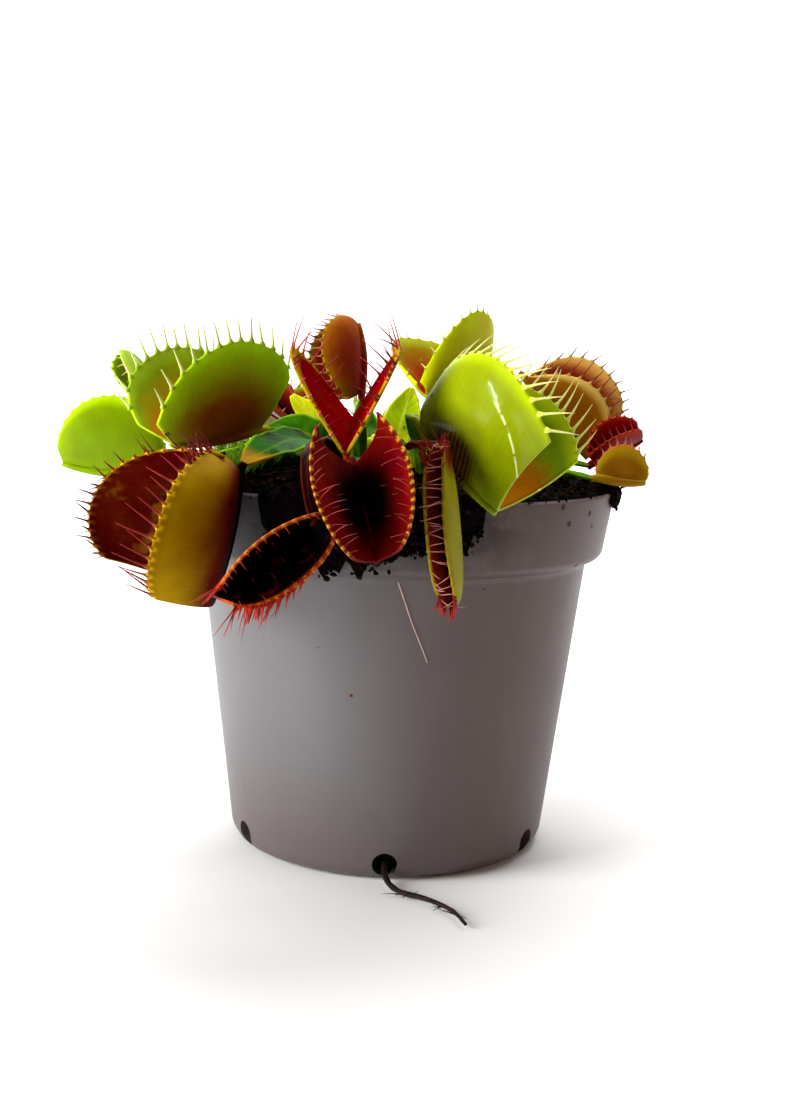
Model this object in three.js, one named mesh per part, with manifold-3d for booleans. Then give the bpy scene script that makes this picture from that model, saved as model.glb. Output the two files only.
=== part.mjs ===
// Potted venus flytrap: a tapered nursery pot with a tall rim band, peat, and one plant
// with its leaves. Millimetres, +Z up, pot axis on Z, pot base at z = 0, front at -Y.

import * as THREE from 'three';
import { mergeVertices } from 'three/addons/utils/BufferGeometryUtils.js';
import Module from 'manifold-3d';

const wasm = await Module();
wasm.setup();

// Driving dimensions
const clearance = 0.3;       // gap kept between neighbouring pieces
const potHeight = 66;
const rimRadius = 40;        // outer radius at the top of the rim band
const bandRadius = 38.2;     // outer radius at the lower edge of the rim band
const bandHeight = 12;
const bodyTopRadius = 35.4;  // outer radius of the wall just under the band
const baseRadius = 28.8;     // outer radius that the wall's taper reaches at the base
const potWall = 1;
const baseThickness = 1.4;
const potSides = 48;
const drainCount = 6;
const drainRadius = 2.2;
const drainHeight = 3;
const soilTop = 66.4;        // height of the peat at the pot wall
const soilMound = 1.6;       // how much higher the peat is in the middle
const crownX = -3;           // where the leaves leave the peat
const crownY = 1;
const rings = { inner: 4.2, middle: 7.5, outer: 10.5 };
const leafThickness = 0.8;
const trapThickness = 0.8;
const midribThickness = 1.7;
const rootRadius = 0.55;

const up = new THREE.Vector3(0, 0, 1);
const radians = THREE.MathUtils.degToRad;

// Small seeded generator, so that every build places the crumbs alike
function seededRandom(seed) {
  let state = seed;
  return () => {
    state = (state * 1664525 + 1013904223) % 4294967296;
    return state / 4294967296;
  };
}

function heading(azimuth, elevation) {
  const a = radians(azimuth);
  const e = radians(elevation);
  return new THREE.Vector3(Math.cos(e) * Math.cos(a), Math.cos(e) * Math.sin(a), Math.sin(e));
}

// Triangles between two rows of point numbers that run the same way
function zipRows(first, second, addTriangle) {
  let i = 0;
  let j = 0;
  while (i < first.length - 1 || j < second.length - 1) {
    const nextFirst = (i + 1) / (first.length - 1);
    const nextSecond = (j + 1) / (second.length - 1);
    const advanceFirst = i < first.length - 1 && nextFirst <= nextSecond + 1e-9;
    if (advanceFirst) {
      addTriangle(first[i], second[j], first[i + 1]);
      i += 1;
    } else {
      addTriangle(first[i], second[j], second[j + 1]);
      j += 1;
    }
  }
}

function signedVolume(points, triangles) {
  let volume = 0;
  for (const [a, b, c] of triangles) {
    volume += points[a].dot(new THREE.Vector3().crossVectors(points[b], points[c])) / 6;
  }
  return volume;
}

function geometryFrom(points, triangles) {
  const outward = signedVolume(points, triangles) > 0;
  const geometry = new THREE.BufferGeometry();
  const positions = points.flatMap((p) => [p.x, p.y, p.z]);
  const index = triangles.flatMap(([a, b, c]) => (outward ? [a, b, c] : [a, c, b]));
  geometry.setAttribute('position', new THREE.Float32BufferAttribute(positions, 3));
  geometry.setIndex(index);
  geometry.computeVertexNormals();
  return geometry;
}

// Closed blade from rows of { front, back } points. Teeth are { segment, tip } on the
// first row or the last one, where the blade's edge is drawn out to the tip.
function bladeGeometry(rows, firstTeeth = [], lastTeeth = []) {
  const points = [];
  const triangles = [];
  const numbers = rows.map((row) => row.map((p) => {
    points.push(p.front, p.back);
    return points.length - 2;
  }));
  for (let k = 0; k < numbers.length - 1; k += 1) {
    zipRows(numbers[k], numbers[k + 1], (a, b, c) => {
      triangles.push([a, b, c], [a + 1, c + 1, b + 1]);
    });
  }
  const side = (a, b) => triangles.push([a, b, b + 1], [a, b + 1, a + 1]);
  const drawnOut = (a, b, tip) => {
    points.push(tip);
    const t = points.length - 1;
    triangles.push([a, b, t], [b, b + 1, t], [b + 1, a + 1, t], [a + 1, a, t]);
  };
  const edge = (row, teeth, reversed) => {
    const tips = new Map(teeth.map((tooth) => [tooth.segment, tooth.tip]));
    for (let i = 0; i < row.length - 1; i += 1) {
      const [a, b] = reversed ? [row[i + 1], row[i]] : [row[i], row[i + 1]];
      if (tips.has(i)) {
        drawnOut(a, b, tips.get(i));
      } else {
        side(a, b);
      }
    }
  };
  edge(numbers[0], firstTeeth, false);
  edge(numbers[numbers.length - 1], lastTeeth, true);
  for (let k = 0; k < numbers.length - 1; k += 1) {
    side(numbers[k + 1][0], numbers[k][0]);
    side(numbers[k][numbers[k].length - 1], numbers[k + 1][numbers[k + 1].length - 1]);
  }
  return geometryFrom(points, triangles);
}

// Surface normal of a function of two values, by small steps
function surfaceNormal(surface, u, v) {
  const step = 1e-3;
  const du = surface(u + step, v).sub(surface(u - step, v));
  const dv = surface(u, v + step).sub(surface(u, v - step));
  return du.cross(dv).normalize();
}

// Trap: two lobes hinged on a midrib. Lobe points are given by s along the trap, 0 to 1
// from the stalk's end, and r, 0 on the midrib to 1 on the toothed margin.
const trapShape = {
  curl: 40,       // how far each lobe bends inward from midrib to margin, degrees
  back: 0.15,     // how far the lobes bulge past the midrib's ends, in half lengths
  front: 0.15,
  cup: 0.1,
  arch: 0.06,
  teeth: 13,
  tooth: 0.32,    // tooth length in trap lengths
  lean: 10,       // lean of the teeth toward the other lobe, degrees
  start: 8,       // bluntness of the lobes at the stalk's end and at the far end, degrees
  finish: 8,
  fullness: 0.8,  // a lower value squares the lobes' corners
};
const midribPoints = 8;
const lobeRows = [0.4, 0.8];

// Turn round a lobe's outline at s along the trap
function outlineTurn(trap, s) {
  const first = radians(trap.start);
  return first + (Math.PI - first - radians(trap.finish)) * s;
}

function lobePoint(trap, side, s, r) {
  const turn = outlineTurn(trap, s);
  const cosine = Math.cos(turn);
  const bulge = cosine > 0 ? trap.back : trap.front;
  const marginAlong = (trap.long / 2) * (1 - (1 + bulge * Math.abs(cosine)) * cosine);
  const along = (1 - r) * trap.long * s + r * marginAlong;
  const out = r * trap.deep * Math.sin(turn) ** trap.fullness;
  const hinge = radians(trap.gape / 2 + trap.curl / 2);
  const bend = radians(trap.curl) / trap.deep;
  const across = (Math.cos(hinge - bend * out) - Math.cos(hinge)) / bend;
  const high = (Math.sin(hinge) - Math.sin(hinge - bend * out)) / bend;
  const fromMiddle = (2 * along) / trap.long - 1;
  const pinch = trap.cup * trap.deep * fromMiddle ** 2 * r ** 2;
  const lift = trap.arch * trap.long * (fromMiddle ** 2 - 1);
  return new THREE.Vector3(along, side * (across - pinch), high + lift);
}

function trapPlacement(trap) {
  const along = heading(...trap.heads);
  const mouth = heading(...trap.faces);
  mouth.addScaledVector(along, -mouth.dot(along)).normalize();
  const across = new THREE.Vector3().crossVectors(mouth, along);
  const matrix = new THREE.Matrix4().makeBasis(along, across, mouth);
  return matrix.setPosition(...trap.at);
}

function lobeRow(trap, side, r, count) {
  const inward = (s, v) => surfaceNormal((a, b) => lobePoint(trap, side, a, b), s, v);
  const row = [];
  for (let i = 0; i < count; i += 1) {
    const s = i / (count - 1);
    const centre = lobePoint(trap, side, s, r);
    const normal = inward(s, r).multiplyScalar((side * trapThickness) / 2);
    row.push({ front: centre.clone().add(normal), back: centre.clone().sub(normal) });
  }
  return row;
}

function midribRow(trap) {
  const aboveHinge = trapThickness * 0.6;
  const row = [];
  for (let i = 0; i < midribPoints; i += 1) {
    const centre = lobePoint(trap, 1, i / (midribPoints - 1), 0);
    const front = centre.clone().addScaledVector(up, aboveHinge);
    row.push({ front, back: front.clone().addScaledVector(up, -midribThickness) });
  }
  return row;
}

function lobeTeeth(trap, side) {
  const segments = 2 * trap.teeth + 1;
  const teeth = [];
  for (let k = 0; k < trap.teeth; k += 1) {
    const segment = 2 * k + 1;
    const s = (segment + 0.5) / segments;
    const root = lobePoint(trap, side, s, 1);
    const direction = root.clone().sub(lobePoint(trap, side, s, 0.85)).normalize();
    direction.y -= side * Math.tan(radians(trap.lean));
    const swell = 0.5 + 0.5 * Math.sin(outlineTurn(trap, s));
    const length = trap.tooth * trap.long * swell;
    teeth.push({ segment, tip: root.addScaledVector(direction.normalize(), length) });
  }
  return teeth;
}

function trapGeometry(spec) {
  const trap = { ...trapShape, ...spec };
  const marginPoints = 2 * trap.teeth + 2;
  const rows = [lobeRow(trap, 1, 1, marginPoints)];
  for (const r of [...lobeRows].reverse()) {
    rows.push(lobeRow(trap, 1, r, midribPoints));
  }
  rows.push(midribRow(trap));
  for (const r of lobeRows) {
    rows.push(lobeRow(trap, -1, r, midribPoints));
  }
  rows.push(lobeRow(trap, -1, 1, marginPoints));
  const geometry = bladeGeometry(rows, lobeTeeth(trap, 1), lobeTeeth(trap, -1));
  return geometry.applyMatrix4(trapPlacement(trap));
}

// Leaf blade under a trap: a winged stalk with a folded, waved blade along a curve
const bladeShape = {
  stem: 2,        // width where it leaves the peat
  neck: 1.3,      // width at the trap
  fold: 0.25,     // how high the edges stand, in half widths
  waves: 2.5,
  wave: 0.5,      // height of the waves in the edge
  reach: 9,       // how far the end follows the trap's heading
  rise: 7,        // how far the stem goes straight up
};
const bladeStations = 11;
const holeStations = 4;      // stations of a leaf that its hole in the peat follows
const peatDepth = 3;         // how deep a leaf stands in the peat
const keelHeight = 0.5;

function leafCurve(leaf, grow) {
  const angle = radians(leaf.from);
  const radius = rings[leaf.ring];
  const x = crownX + radius * Math.cos(angle);
  const y = crownY + radius * Math.sin(angle);
  const root = new THREE.Vector3(x, y, soilTop - peatDepth - grow);
  const end = new THREE.Vector3(...leaf.end);
  const last = end.clone().addScaledVector(heading(...leaf.heads), -leaf.reach);
  const outward = new THREE.Vector3(Math.cos(angle), Math.sin(angle), 0);
  const first = root.clone().addScaledVector(up, leaf.rise).add(outward);
  return new THREE.CubicBezierCurve3(root, first, last, end);
}

function leafWidth(leaf, t) {
  const swell = Math.sin(Math.PI * Math.min(1, Math.max(0, t)) ** 1.3) ** 0.9;
  const plain = leaf.stem + (leaf.neck - leaf.stem) * t;
  return plain + (leaf.wide - plain) * Math.max(0, swell);
}

function leafPoint(leaf, curve, t, v) {
  const centre = curve.getPoint(Math.min(1, Math.max(0, t)));
  const along = curve.getTangent(Math.min(1, Math.max(0, t)));
  const face = heading(...leaf.faces);
  const across = new THREE.Vector3().crossVectors(face, along).normalize();
  const normal = new THREE.Vector3().crossVectors(along, across).normalize();
  const half = leafWidth(leaf, t) / 2;
  const edge = Math.abs(v);
  const fade = Math.sin(Math.PI * Math.min(1, Math.max(0, t)));
  const wave = leaf.wave * fade * Math.sin(2 * Math.PI * leaf.waves * t + (v > 0 ? 0 : 1.5));
  const high = edge * (leaf.fold * half + wave);
  centre.addScaledVector(across, v * half);
  return centre.addScaledVector(normal, high);
}

// A grown copy of a leaf's lowest stations makes its hole in the peat
function leafGeometry(spec, grow = 0, stations = bladeStations) {
  const leaf = { ...bladeShape, ...spec };
  leaf.stem += 2 * grow;
  leaf.wide += 2 * grow;
  const curve = leafCurve(leaf, grow);
  const surface = (t, v) => leafPoint(leaf, curve, t, v);
  const rows = [-1, 0, 1].map((v) => {
    const row = [];
    const keel = v === 0 ? keelHeight : 0;
    for (let i = 0; i <= stations; i += 1) {
      const t = i / bladeStations;
      const inner = Math.min(0.98, Math.max(0.02, t));
      const normal = surfaceNormal(surface, inner, v * 0.6);
      const centre = surface(t, v);
      const front = centre.clone().addScaledVector(normal, leafThickness / 2 + grow);
      const back = centre.clone().addScaledVector(normal, -leafThickness / 2 - keel - grow);
      row.push({ front, back });
    }
    return row;
  });
  return bladeGeometry(rows);
}

// Every leaf with its trap. Angles are azimuth and elevation in degrees: a trap heads
// along its midrib away from the stalk and faces where its mouth opens.
const lime = 0x9ab81e;
const green = 0x4f8a1c;
const olive = 0x7c6a22;
const maroon = 0x6e1512;
const crimson = 0x8e1a12;
const tan = 0x9a7a35;
const leaves = [
  {
    name: 'left_far', ring: 'outer', from: 168, wide: 6, rise: 12, reach: 14, tint: lime,
    leafHeads: [182, -25],
    trap: { at: [-46, 12, 66], heads: [182, 3], faces: [95, 70], long: 18, deep: 15, gape: 35, curl: 60,
      tooth: 0.2 },
  },
  {
    name: 'left_upper', ring: 'middle', from: 190, wide: 9, rise: 8, reach: 9, tint: green,
    leafHeads: [205, -5], faces: [267, 50],
    trap: { at: [-24.8, -1, 75.5], heads: [221, -8], faces: [150, 86], long: 19.5, deep: 20, gape: 63,
      curl: 38, back: 0.39, front: 0.42, cup: 0, arch: 0.04, tooth: 0.3,
      start: 18, finish: 4, fullness: 0.59 },
  },
  {
    name: 'left_lower', ring: 'outer', from: 206, wide: 9.2, rise: 15, reach: 14, tint: olive,
    leafHeads: [250, -10], faces: [265, 50],
    trap: { at: [-25.6, -33, 69.7], heads: [153, -77], faces: [216, 1], long: 22.5, deep: 24.8, gape: 59,
      curl: 85, back: 0.26, front: -0.1, cup: 0.22, arch: 0.04, teeth: 17, tooth: 0.28,
      start: 4, finish: 45, fullness: 0.48 },
  },
  {
    name: 'front_left', ring: 'outer', from: 236, wide: 2.5, rise: 12, reach: 18, tint: maroon,
    leafHeads: [318, -72],
    trap: { at: [-13.2, -43.5, 62.8], heads: [206, -34], faces: [279, -4], long: 18.6, deep: 12.4, gape: 42,
      curl: 6, back: 0.17, front: -0.05, cup: 0.1, arch: 0.12, tooth: 0.25,
      start: 28, finish: 8, fullness: 0.42 },
  },
  {
    name: 'centre_upper', ring: 'inner', from: 225, wide: 3, rise: 11, reach: 5, neck: 2.2, tint: crimson,
    leafHeads: [268, -19],
    trap: { at: [-7.4, -26, 78.2], heads: [268, -19], faces: [0, 92], long: 14.7, deep: 16.8, gape: 62,
      curl: 2, back: -0.1, front: 0.1, cup: 0.01, arch: -0.02, tooth: 0.5,
      start: 12, finish: 4, fullness: 0.9 },
  },
  {
    name: 'front_centre', ring: 'middle', from: 262, wide: 3, rise: 7, reach: 12, tint: crimson,
    leafHeads: [266, 2],
    trap: { at: [-6.5, -43, 72], heads: [300, -60], faces: [273, 10], long: 16.1, deep: 16.9, gape: 50,
      curl: 34, back: 1.14, front: 0.17, cup: 0.08, arch: -0.02, teeth: 15, tooth: 0.25,
      start: 44, finish: 13, fullness: 0.36 },
  },
  {
    name: 'front_right', ring: 'outer', from: 275, wide: 2.2, rise: 9, reach: 9, tint: maroon,
    leafHeads: [326, 2],
    trap: { at: [7.4, -44.3, 74.6], heads: [350, -83], faces: [252, 5], long: 22, deep: 11, gape: 14,
      curl: 60, teeth: 15, tooth: 0.15, lean: 0 },
  },
  {
    name: 'right_large', ring: 'outer', from: 317, wide: 2.6, rise: 8, reach: 5, tint: lime,
    leafHeads: [285, -24],
    trap: { at: [3.8, -31, 78.8], heads: [318, -39], faces: [32, 71], long: 21.1, deep: 20.7, gape: 59,
      curl: 35, back: 0.19, front: 0.6, cup: 0.13, arch: 0.04, teeth: 15, tooth: 0.28,
      start: 4, finish: 43, fullness: 0.58 },
  },
  {
    name: 'back_right', ring: 'inner', from: 25, wide: 6, rise: 7, reach: 9, tint: lime,
    trap: { at: [16.5, 24, 83.5], heads: [225, -8], faces: [115, 75], long: 16, deep: 18, gape: 75, curl: 20,
      back: 0.4, tooth: 0.14 },
  },
  {
    name: 'back_centre', ring: 'inner', from: 110, wide: 6, rise: 8, reach: 8, tint: olive,
    trap: { at: [-8.1, 24, 81], heads: [100, 70], faces: [200, 10], long: 15, deep: 11, gape: 40, curl: 60,
      tooth: 0.22 },
  },
  {
    name: 'right_back', ring: 'outer', from: 358, wide: 4, rise: 11, reach: 10, tint: tan,
    leafHeads: [10, 40],
    trap: { at: [24.3, 8, 85.7], heads: [5, -50], faces: [61, 112], long: 19.4, deep: 13.7, gape: 35,
      curl: 85, back: 0, front: 0, cup: 0.02, arch: 0.01, tooth: 0.26, start: 4, finish: 15, fullness: 0.82 },
  },
  {
    name: 'right_red', ring: 'outer', from: 18, wide: 3.6, rise: 6, reach: 12, tint: crimson,
    leafHeads: [0, -10],
    trap: { at: [35.9, -3, 71.2], heads: [0, 27], faces: [265, 50], long: 9.5, deep: 7, gape: 40,
      curl: 30, tooth: 0.26, finish: 25, teeth: 9 },
  },
  {
    name: 'right_rim', ring: 'outer', from: 338, wide: 3.4, rise: 8, reach: 8, tint: tan,
    leafHeads: [350, -10],
    trap: { at: [35.6, -13, 69.2], heads: [0, -5], faces: [60, 35], long: 8, deep: 6.5, gape: 60, curl: 20,
      teeth: 9 },
  },
  {
    name: 'left_small', ring: 'middle', from: 150, wide: 4, rise: 10, reach: 5, tint: maroon,
    trap: { at: [-20.6, 14, 75.5], heads: [150, 30], faces: [200, 60], long: 9, deep: 7, gape: 50,
      teeth: 9, tooth: 0.2 },
  },
  {
    name: 'left_back', ring: 'outer', from: 143, wide: 5, rise: 11, reach: 10, tint: green,
    trap: { at: [-47.3, 26, 79], heads: [150, 45], faces: [180, 40], long: 12, deep: 8, gape: 25,
      curl: 60, teeth: 9, tooth: 0.15 },
  },
  {
    name: 'rear_left', ring: 'outer', from: 118, wide: 7, rise: 9, reach: 12, tint: green,
    trap: { at: [-22, 36, 73], heads: [125, 0], faces: [50, 70], long: 21, deep: 16, gape: 60, curl: 40 },
  },
  {
    name: 'rear_middle', ring: 'outer', from: 92, wide: 7, rise: 9, reach: 12, tint: green,
    trap: { at: [-1, 37, 71], heads: [88, -20], faces: [80, 70], long: 22, deep: 16, gape: 75, curl: 40 },
  },
  {
    name: 'rear_right', ring: 'outer', from: 66, wide: 7, rise: 9, reach: 12, tint: olive,
    trap: { at: [20, 38, 71], heads: [60, -35], faces: [50, 50], long: 22, deep: 16, gape: 40, curl: 60 },
  },
];

const plainLeaves = [
  { name: 'blade_upright', ring: 'inner', from: 144, wide: 6, rise: 13, end: [-20, 7, 81],
    heads: [160, 50], faces: [250, 30], tint: lime, neck: 1 },
  { name: 'blade_dark', ring: 'inner', from: 315, wide: 4, end: [1.5, -10, 73], heads: [300, -10],
    faces: [270, 60], tint: green, neck: 1 },
  { name: 'blade_centre', ring: 'inner', from: 70, wide: 8, rise: 8, end: [2.5, 10.5, 83],
    heads: [60, 65], faces: [270, 30], tint: lime, neck: 1, wave: 0.9 },
  { name: 'blade_right', ring: 'middle', from: 350, wide: 9, rise: 8, end: [10, -1, 81],
    heads: [340, 65], faces: [250, 30], tint: lime, neck: 1, wave: 0.9 },
];

function paint(colour, roughness) {
  return new THREE.MeshStandardMaterial({ color: colour, roughness, metalness: 0 });
}

function addPiece(group, name, geometry, material) {
  const mesh = new THREE.Mesh(geometry, material);
  mesh.name = name;
  group.add(mesh);
}

function toSolid(geometry) {
  const plain = geometry.clone();
  plain.deleteAttribute('normal');
  if (plain.hasAttribute('uv')) {
    plain.deleteAttribute('uv');
  }
  const merged = mergeVertices(plain, 1e-4);
  const vertProperties = new Float32Array(merged.attributes.position.array);
  const triVerts = new Uint32Array(merged.index.array);
  return new wasm.Manifold(new wasm.Mesh({ numProp: 3, vertProperties, triVerts }));
}

function toGeometry(solid) {
  const mesh = solid.getMesh();
  const geometry = new THREE.BufferGeometry();
  geometry.setAttribute('position', new THREE.BufferAttribute(mesh.vertProperties, 3));
  geometry.setIndex(new THREE.BufferAttribute(mesh.triVerts, 1));
  geometry.computeVertexNormals();
  return geometry;
}

// Lathe turned so that its axis is Z
function turned(profile, sides) {
  const geometry = new THREE.LatheGeometry(profile.map(([r, z]) => new THREE.Vector2(r, z)), sides);
  return geometry.rotateX(Math.PI / 2);
}

function wallRadius(z) {
  return baseRadius + ((bodyTopRadius - baseRadius) * z) / (potHeight - bandHeight);
}

// Outer outline of the pot from base to rim, and the same moved inward by an offset
function outerOutline(offset, bottom, top) {
  const corner = 2.4;
  const step = potHeight - bandHeight;
  return [
    [wallRadius(0) - corner - offset, bottom],
    [wallRadius(1) - 0.8 - offset, bottom + 0.7],
    [wallRadius(corner) - offset, bottom + corner],
    [wallRadius(step - 1.6) - offset, step - 1.6],
    [wallRadius(step) + 0.5 - offset, step - 0.6],
    [bandRadius - 0.7 - offset, step],
    [bandRadius - offset, step + 0.9],
    [rimRadius - offset, top],
  ];
}

function potGeometry() {
  const lip = 0.35;
  const outside = outerOutline(0, 0, potHeight - lip);
  const inside = outerOutline(potWall, baseThickness, potHeight - lip);
  const top = [[rimRadius - lip, potHeight], [rimRadius - potWall + lip, potHeight]];
  const profile = [[0, 0], ...outside, ...top, ...inside.reverse(), [0, baseThickness]];
  let pot = toSolid(turned(profile, potSides));
  for (let k = 0; k < drainCount; k += 1) {
    const drill = new THREE.CylinderGeometry(drainRadius, drainRadius, 12, 14);
    drill.rotateZ(Math.PI / 2);
    drill.translate(wallRadius(0), 0, 0);
    drill.rotateZ(radians(270 + (360 * k) / drainCount));
    drill.translate(0, 0, drainHeight);
    pot = pot.subtract(toSolid(drill));
  }
  return toGeometry(pot);
}

// Peat filling the pot, with a mounded crumbly top
function soilCore() {
  const random = seededRandom(7);
  const sides = 36;
  const topRings = [0.3, 0.55, 0.75, 0.9, 1];
  const inset = potWall + clearance;
  const wall = outerOutline(inset, baseThickness + clearance, soilTop).slice(0, -1);
  wall.push([rimRadius - inset - 0.1, soilTop - 0.8]);
  const reach = rimRadius - inset - 0.3;
  const points = [];
  const triangles = [];
  const ring = (radius, height, rough) => {
    const row = [];
    for (let k = 0; k < sides; k += 1) {
      const a = (2 * Math.PI * k) / sides;
      const bump = rough * (random() - 0.5);
      points.push(new THREE.Vector3(radius * Math.cos(a), radius * Math.sin(a), height + bump));
      row.push(points.length - 1);
    }
    return row;
  };
  const join = (low, high) => {
    for (let k = 0; k < sides; k += 1) {
      const n = (k + 1) % sides;
      triangles.push([low[k], low[n], high[n]], [low[k], high[n], high[k]]);
    }
  };
  points.push(new THREE.Vector3(0, 0, wall[0][1]));
  let previous = ring(...wall[0], 0);
  for (let k = 0; k < sides; k += 1) {
    triangles.push([0, previous[(k + 1) % sides], previous[k]]);
  }
  for (const [radius, height] of wall.slice(1)) {
    const next = ring(radius, height, 0);
    join(previous, next);
    previous = next;
  }
  for (const share of [...topRings].reverse()) {
    const height = soilTop + soilMound * (1 - share ** 2);
    const next = ring(reach * share, height, share === 1 ? 0.2 : 0.9);
    join(previous, next);
    previous = next;
  }
  points.push(new THREE.Vector3(0, 0, soilTop + soilMound));
  for (let k = 0; k < sides; k += 1) {
    triangles.push([previous[k], previous[(k + 1) % sides], points.length - 1]);
  }
  return toSolid(geometryFrom(points, triangles));
}

// Peat that has washed over the rim and hangs down the outside of the band
function soilSpill(start, end, drop, thickness, seed) {
  const random = seededRandom(seed);
  const slices = Math.max(6, Math.round((end - start) / 4));
  const bandSlope = (rimRadius - bandRadius) / bandHeight;
  const outsideAt = (z) => rimRadius - bandSlope * (potHeight - z) + clearance;
  const foot = rimRadius - 4.5;
  const insideRim = rimRadius - potWall - clearance;
  const outsideRim = rimRadius + clearance;
  const overRim = potHeight + clearance;
  const rows = [];
  for (let i = 0; i <= slices; i += 1) {
    const u = i / slices;
    const full = Math.sin(Math.PI * (0.04 + 0.92 * u)) ** 0.4;
    const thick = thickness * full * (0.8 + 0.4 * random());
    const low = potHeight - drop * full * (0.85 + 0.15 * random());
    const middle = (potHeight + low) / 2;
    const profile = [
      [foot, soilTop - 1.6],
      [insideRim - 0.2, soilTop - 1.2],
      [insideRim, overRim],
      [outsideRim, overRim],
      [outsideAt(low) + 0.1, low],
      [outsideAt(low) + 0.1 + 0.5 * thick, low + 0.3],
      [outsideAt(middle) + thick, middle],
      [outsideRim + 0.9 * thick, potHeight - 0.5],
      [outsideRim, overRim + 0.9 * thick],
      [rimRadius - 2, soilTop + 0.6 + 0.8 * thick],
      [foot, soilTop + 0.4],
    ];
    const a = radians(start + (end - start) * u);
    rows.push(profile.map(([r, z]) => new THREE.Vector3(r * Math.cos(a), r * Math.sin(a), z)));
  }
  const points = rows.flat();
  const count = rows[0].length;
  const triangles = [];
  for (let i = 0; i < slices; i += 1) {
    for (let k = 0; k < count; k += 1) {
      const n = (k + 1) % count;
      const [a, b] = [i * count, (i + 1) * count];
      triangles.push([a + k, a + n, b + n], [a + k, b + n, b + k]);
    }
  }
  const cap = THREE.ShapeUtils.triangulateShape(rows[0].map((p) => {
    return new THREE.Vector2(Math.hypot(p.x, p.y), p.z);
  }), []);
  const last = slices * count;
  for (const [a, b, c] of cap) {
    triangles.push([a, c, b], [last + a, last + b, last + c]);
  }
  return toSolid(geometryFrom(points, triangles));
}

// Root out of a drain hole, lying on the surface that the pot stands on
const rootPath = [
  [0.4, -21, 3.8], [0, -27, 2.9], [0.3, -31, 1.4], [2.5, -35, 0.8], [7, -38, 0.8],
  [11, -42.5, 0.8], [13, -48, 0.8],
];

function rootGeometry(radius, longer = 0) {
  const points = rootPath.map((p) => new THREE.Vector3(...p));
  points[0].y += longer;
  const curve = new THREE.CatmullRomCurve3(points);
  const section = new THREE.Shape().absarc(0, 0, radius, 0, 2 * Math.PI, false);
  return new THREE.ExtrudeGeometry(section, { steps: 26, extrudePath: curve, curveSegments: 4 });
}

// Squat rhizome in the middle of the leaf bases
function crownGeometry(grow) {
  const geometry = new THREE.SphereGeometry(2.6 + grow, 12, 8);
  geometry.scale(1, 1, 1.3);
  return geometry.translate(crownX, crownY, soilTop + 0.6);
}

function placedLeaves() {
  const blades = [...plainLeaves];
  for (const { trap, leafHeads, ...leaf } of leaves) {
    const heads = leafHeads ?? trap.heads;
    const end = new THREE.Vector3(-1.1, 0, -1).applyMatrix4(trapPlacement(trap)).toArray();
    blades.push({ faces: [0, 90], ...leaf, name: `petiole_${leaf.name}`, end, heads });
  }
  return blades;
}

function plant(group) {
  for (const leaf of placedLeaves()) {
    addPiece(group, leaf.name, leafGeometry(leaf), paint(leaf.tint === maroon ? olive : green, 0.45));
  }
  for (const { name, trap, tint } of leaves) {
    addPiece(group, `trap_${name}`, trapGeometry(trap), paint(tint, 0.35));
  }
  addPiece(group, 'crown', crownGeometry(0), paint(0xb9c27a, 0.6));
  addPiece(group, 'root', rootGeometry(rootRadius), paint(0x1d1310, 0.8));
}

function soilGeometry() {
  let soil = soilCore();
  soil = soil.add(soilSpill(237, 277, 13, 1, 3));
  soil = soil.add(soilSpill(-20, 4, 3.5, 1.1, 5));
  soil = soil.subtract(toSolid(crownGeometry(clearance)));
  soil = soil.subtract(toSolid(rootGeometry(rootRadius + clearance, 1)));
  for (const leaf of placedLeaves()) {
    soil = soil.subtract(toSolid(leafGeometry(leaf, 1.5 * clearance, holeStations)));
  }
  return toGeometry(soil);
}

const flytrap = new THREE.Group();
addPiece(flytrap, 'pot', potGeometry(), paint(0x8f9196, 0.5));
addPiece(flytrap, 'soil', soilGeometry(), paint(0x1b1310, 0.95));
plant(flytrap);

export default flytrap;
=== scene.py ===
import math
import random

import bmesh
import bpy
from mathutils import Matrix, Vector, noise


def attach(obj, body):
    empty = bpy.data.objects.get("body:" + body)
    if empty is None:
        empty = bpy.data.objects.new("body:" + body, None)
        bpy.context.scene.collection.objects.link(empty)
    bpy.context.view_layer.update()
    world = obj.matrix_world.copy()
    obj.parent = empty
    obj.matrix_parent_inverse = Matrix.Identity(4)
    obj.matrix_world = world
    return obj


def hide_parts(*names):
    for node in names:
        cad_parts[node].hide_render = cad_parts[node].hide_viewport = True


# Looks of a potted venus flytrap. Lengths are in millimetres and angles in degrees while a piece is shaped;
# finishPiece turns the piece into metres.

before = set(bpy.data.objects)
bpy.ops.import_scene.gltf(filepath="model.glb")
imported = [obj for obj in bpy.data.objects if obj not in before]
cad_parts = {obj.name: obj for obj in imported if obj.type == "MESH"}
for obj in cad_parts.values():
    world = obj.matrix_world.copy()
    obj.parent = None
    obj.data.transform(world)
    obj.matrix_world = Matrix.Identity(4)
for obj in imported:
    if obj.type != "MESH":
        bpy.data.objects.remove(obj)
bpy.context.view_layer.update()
mm = 0.001


def linked(name, data):
    made = bpy.data.objects.new(name, data)
    bpy.context.scene.collection.objects.link(made)
    return made


# Camera and light

cameraLook = dict(at=(0, -260, 89), pitch=8.08, yaw=0.26, roll=1.72, focalPixels=1415, imageHeight=1112,
                  sensor=36, nearest=10)


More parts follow.
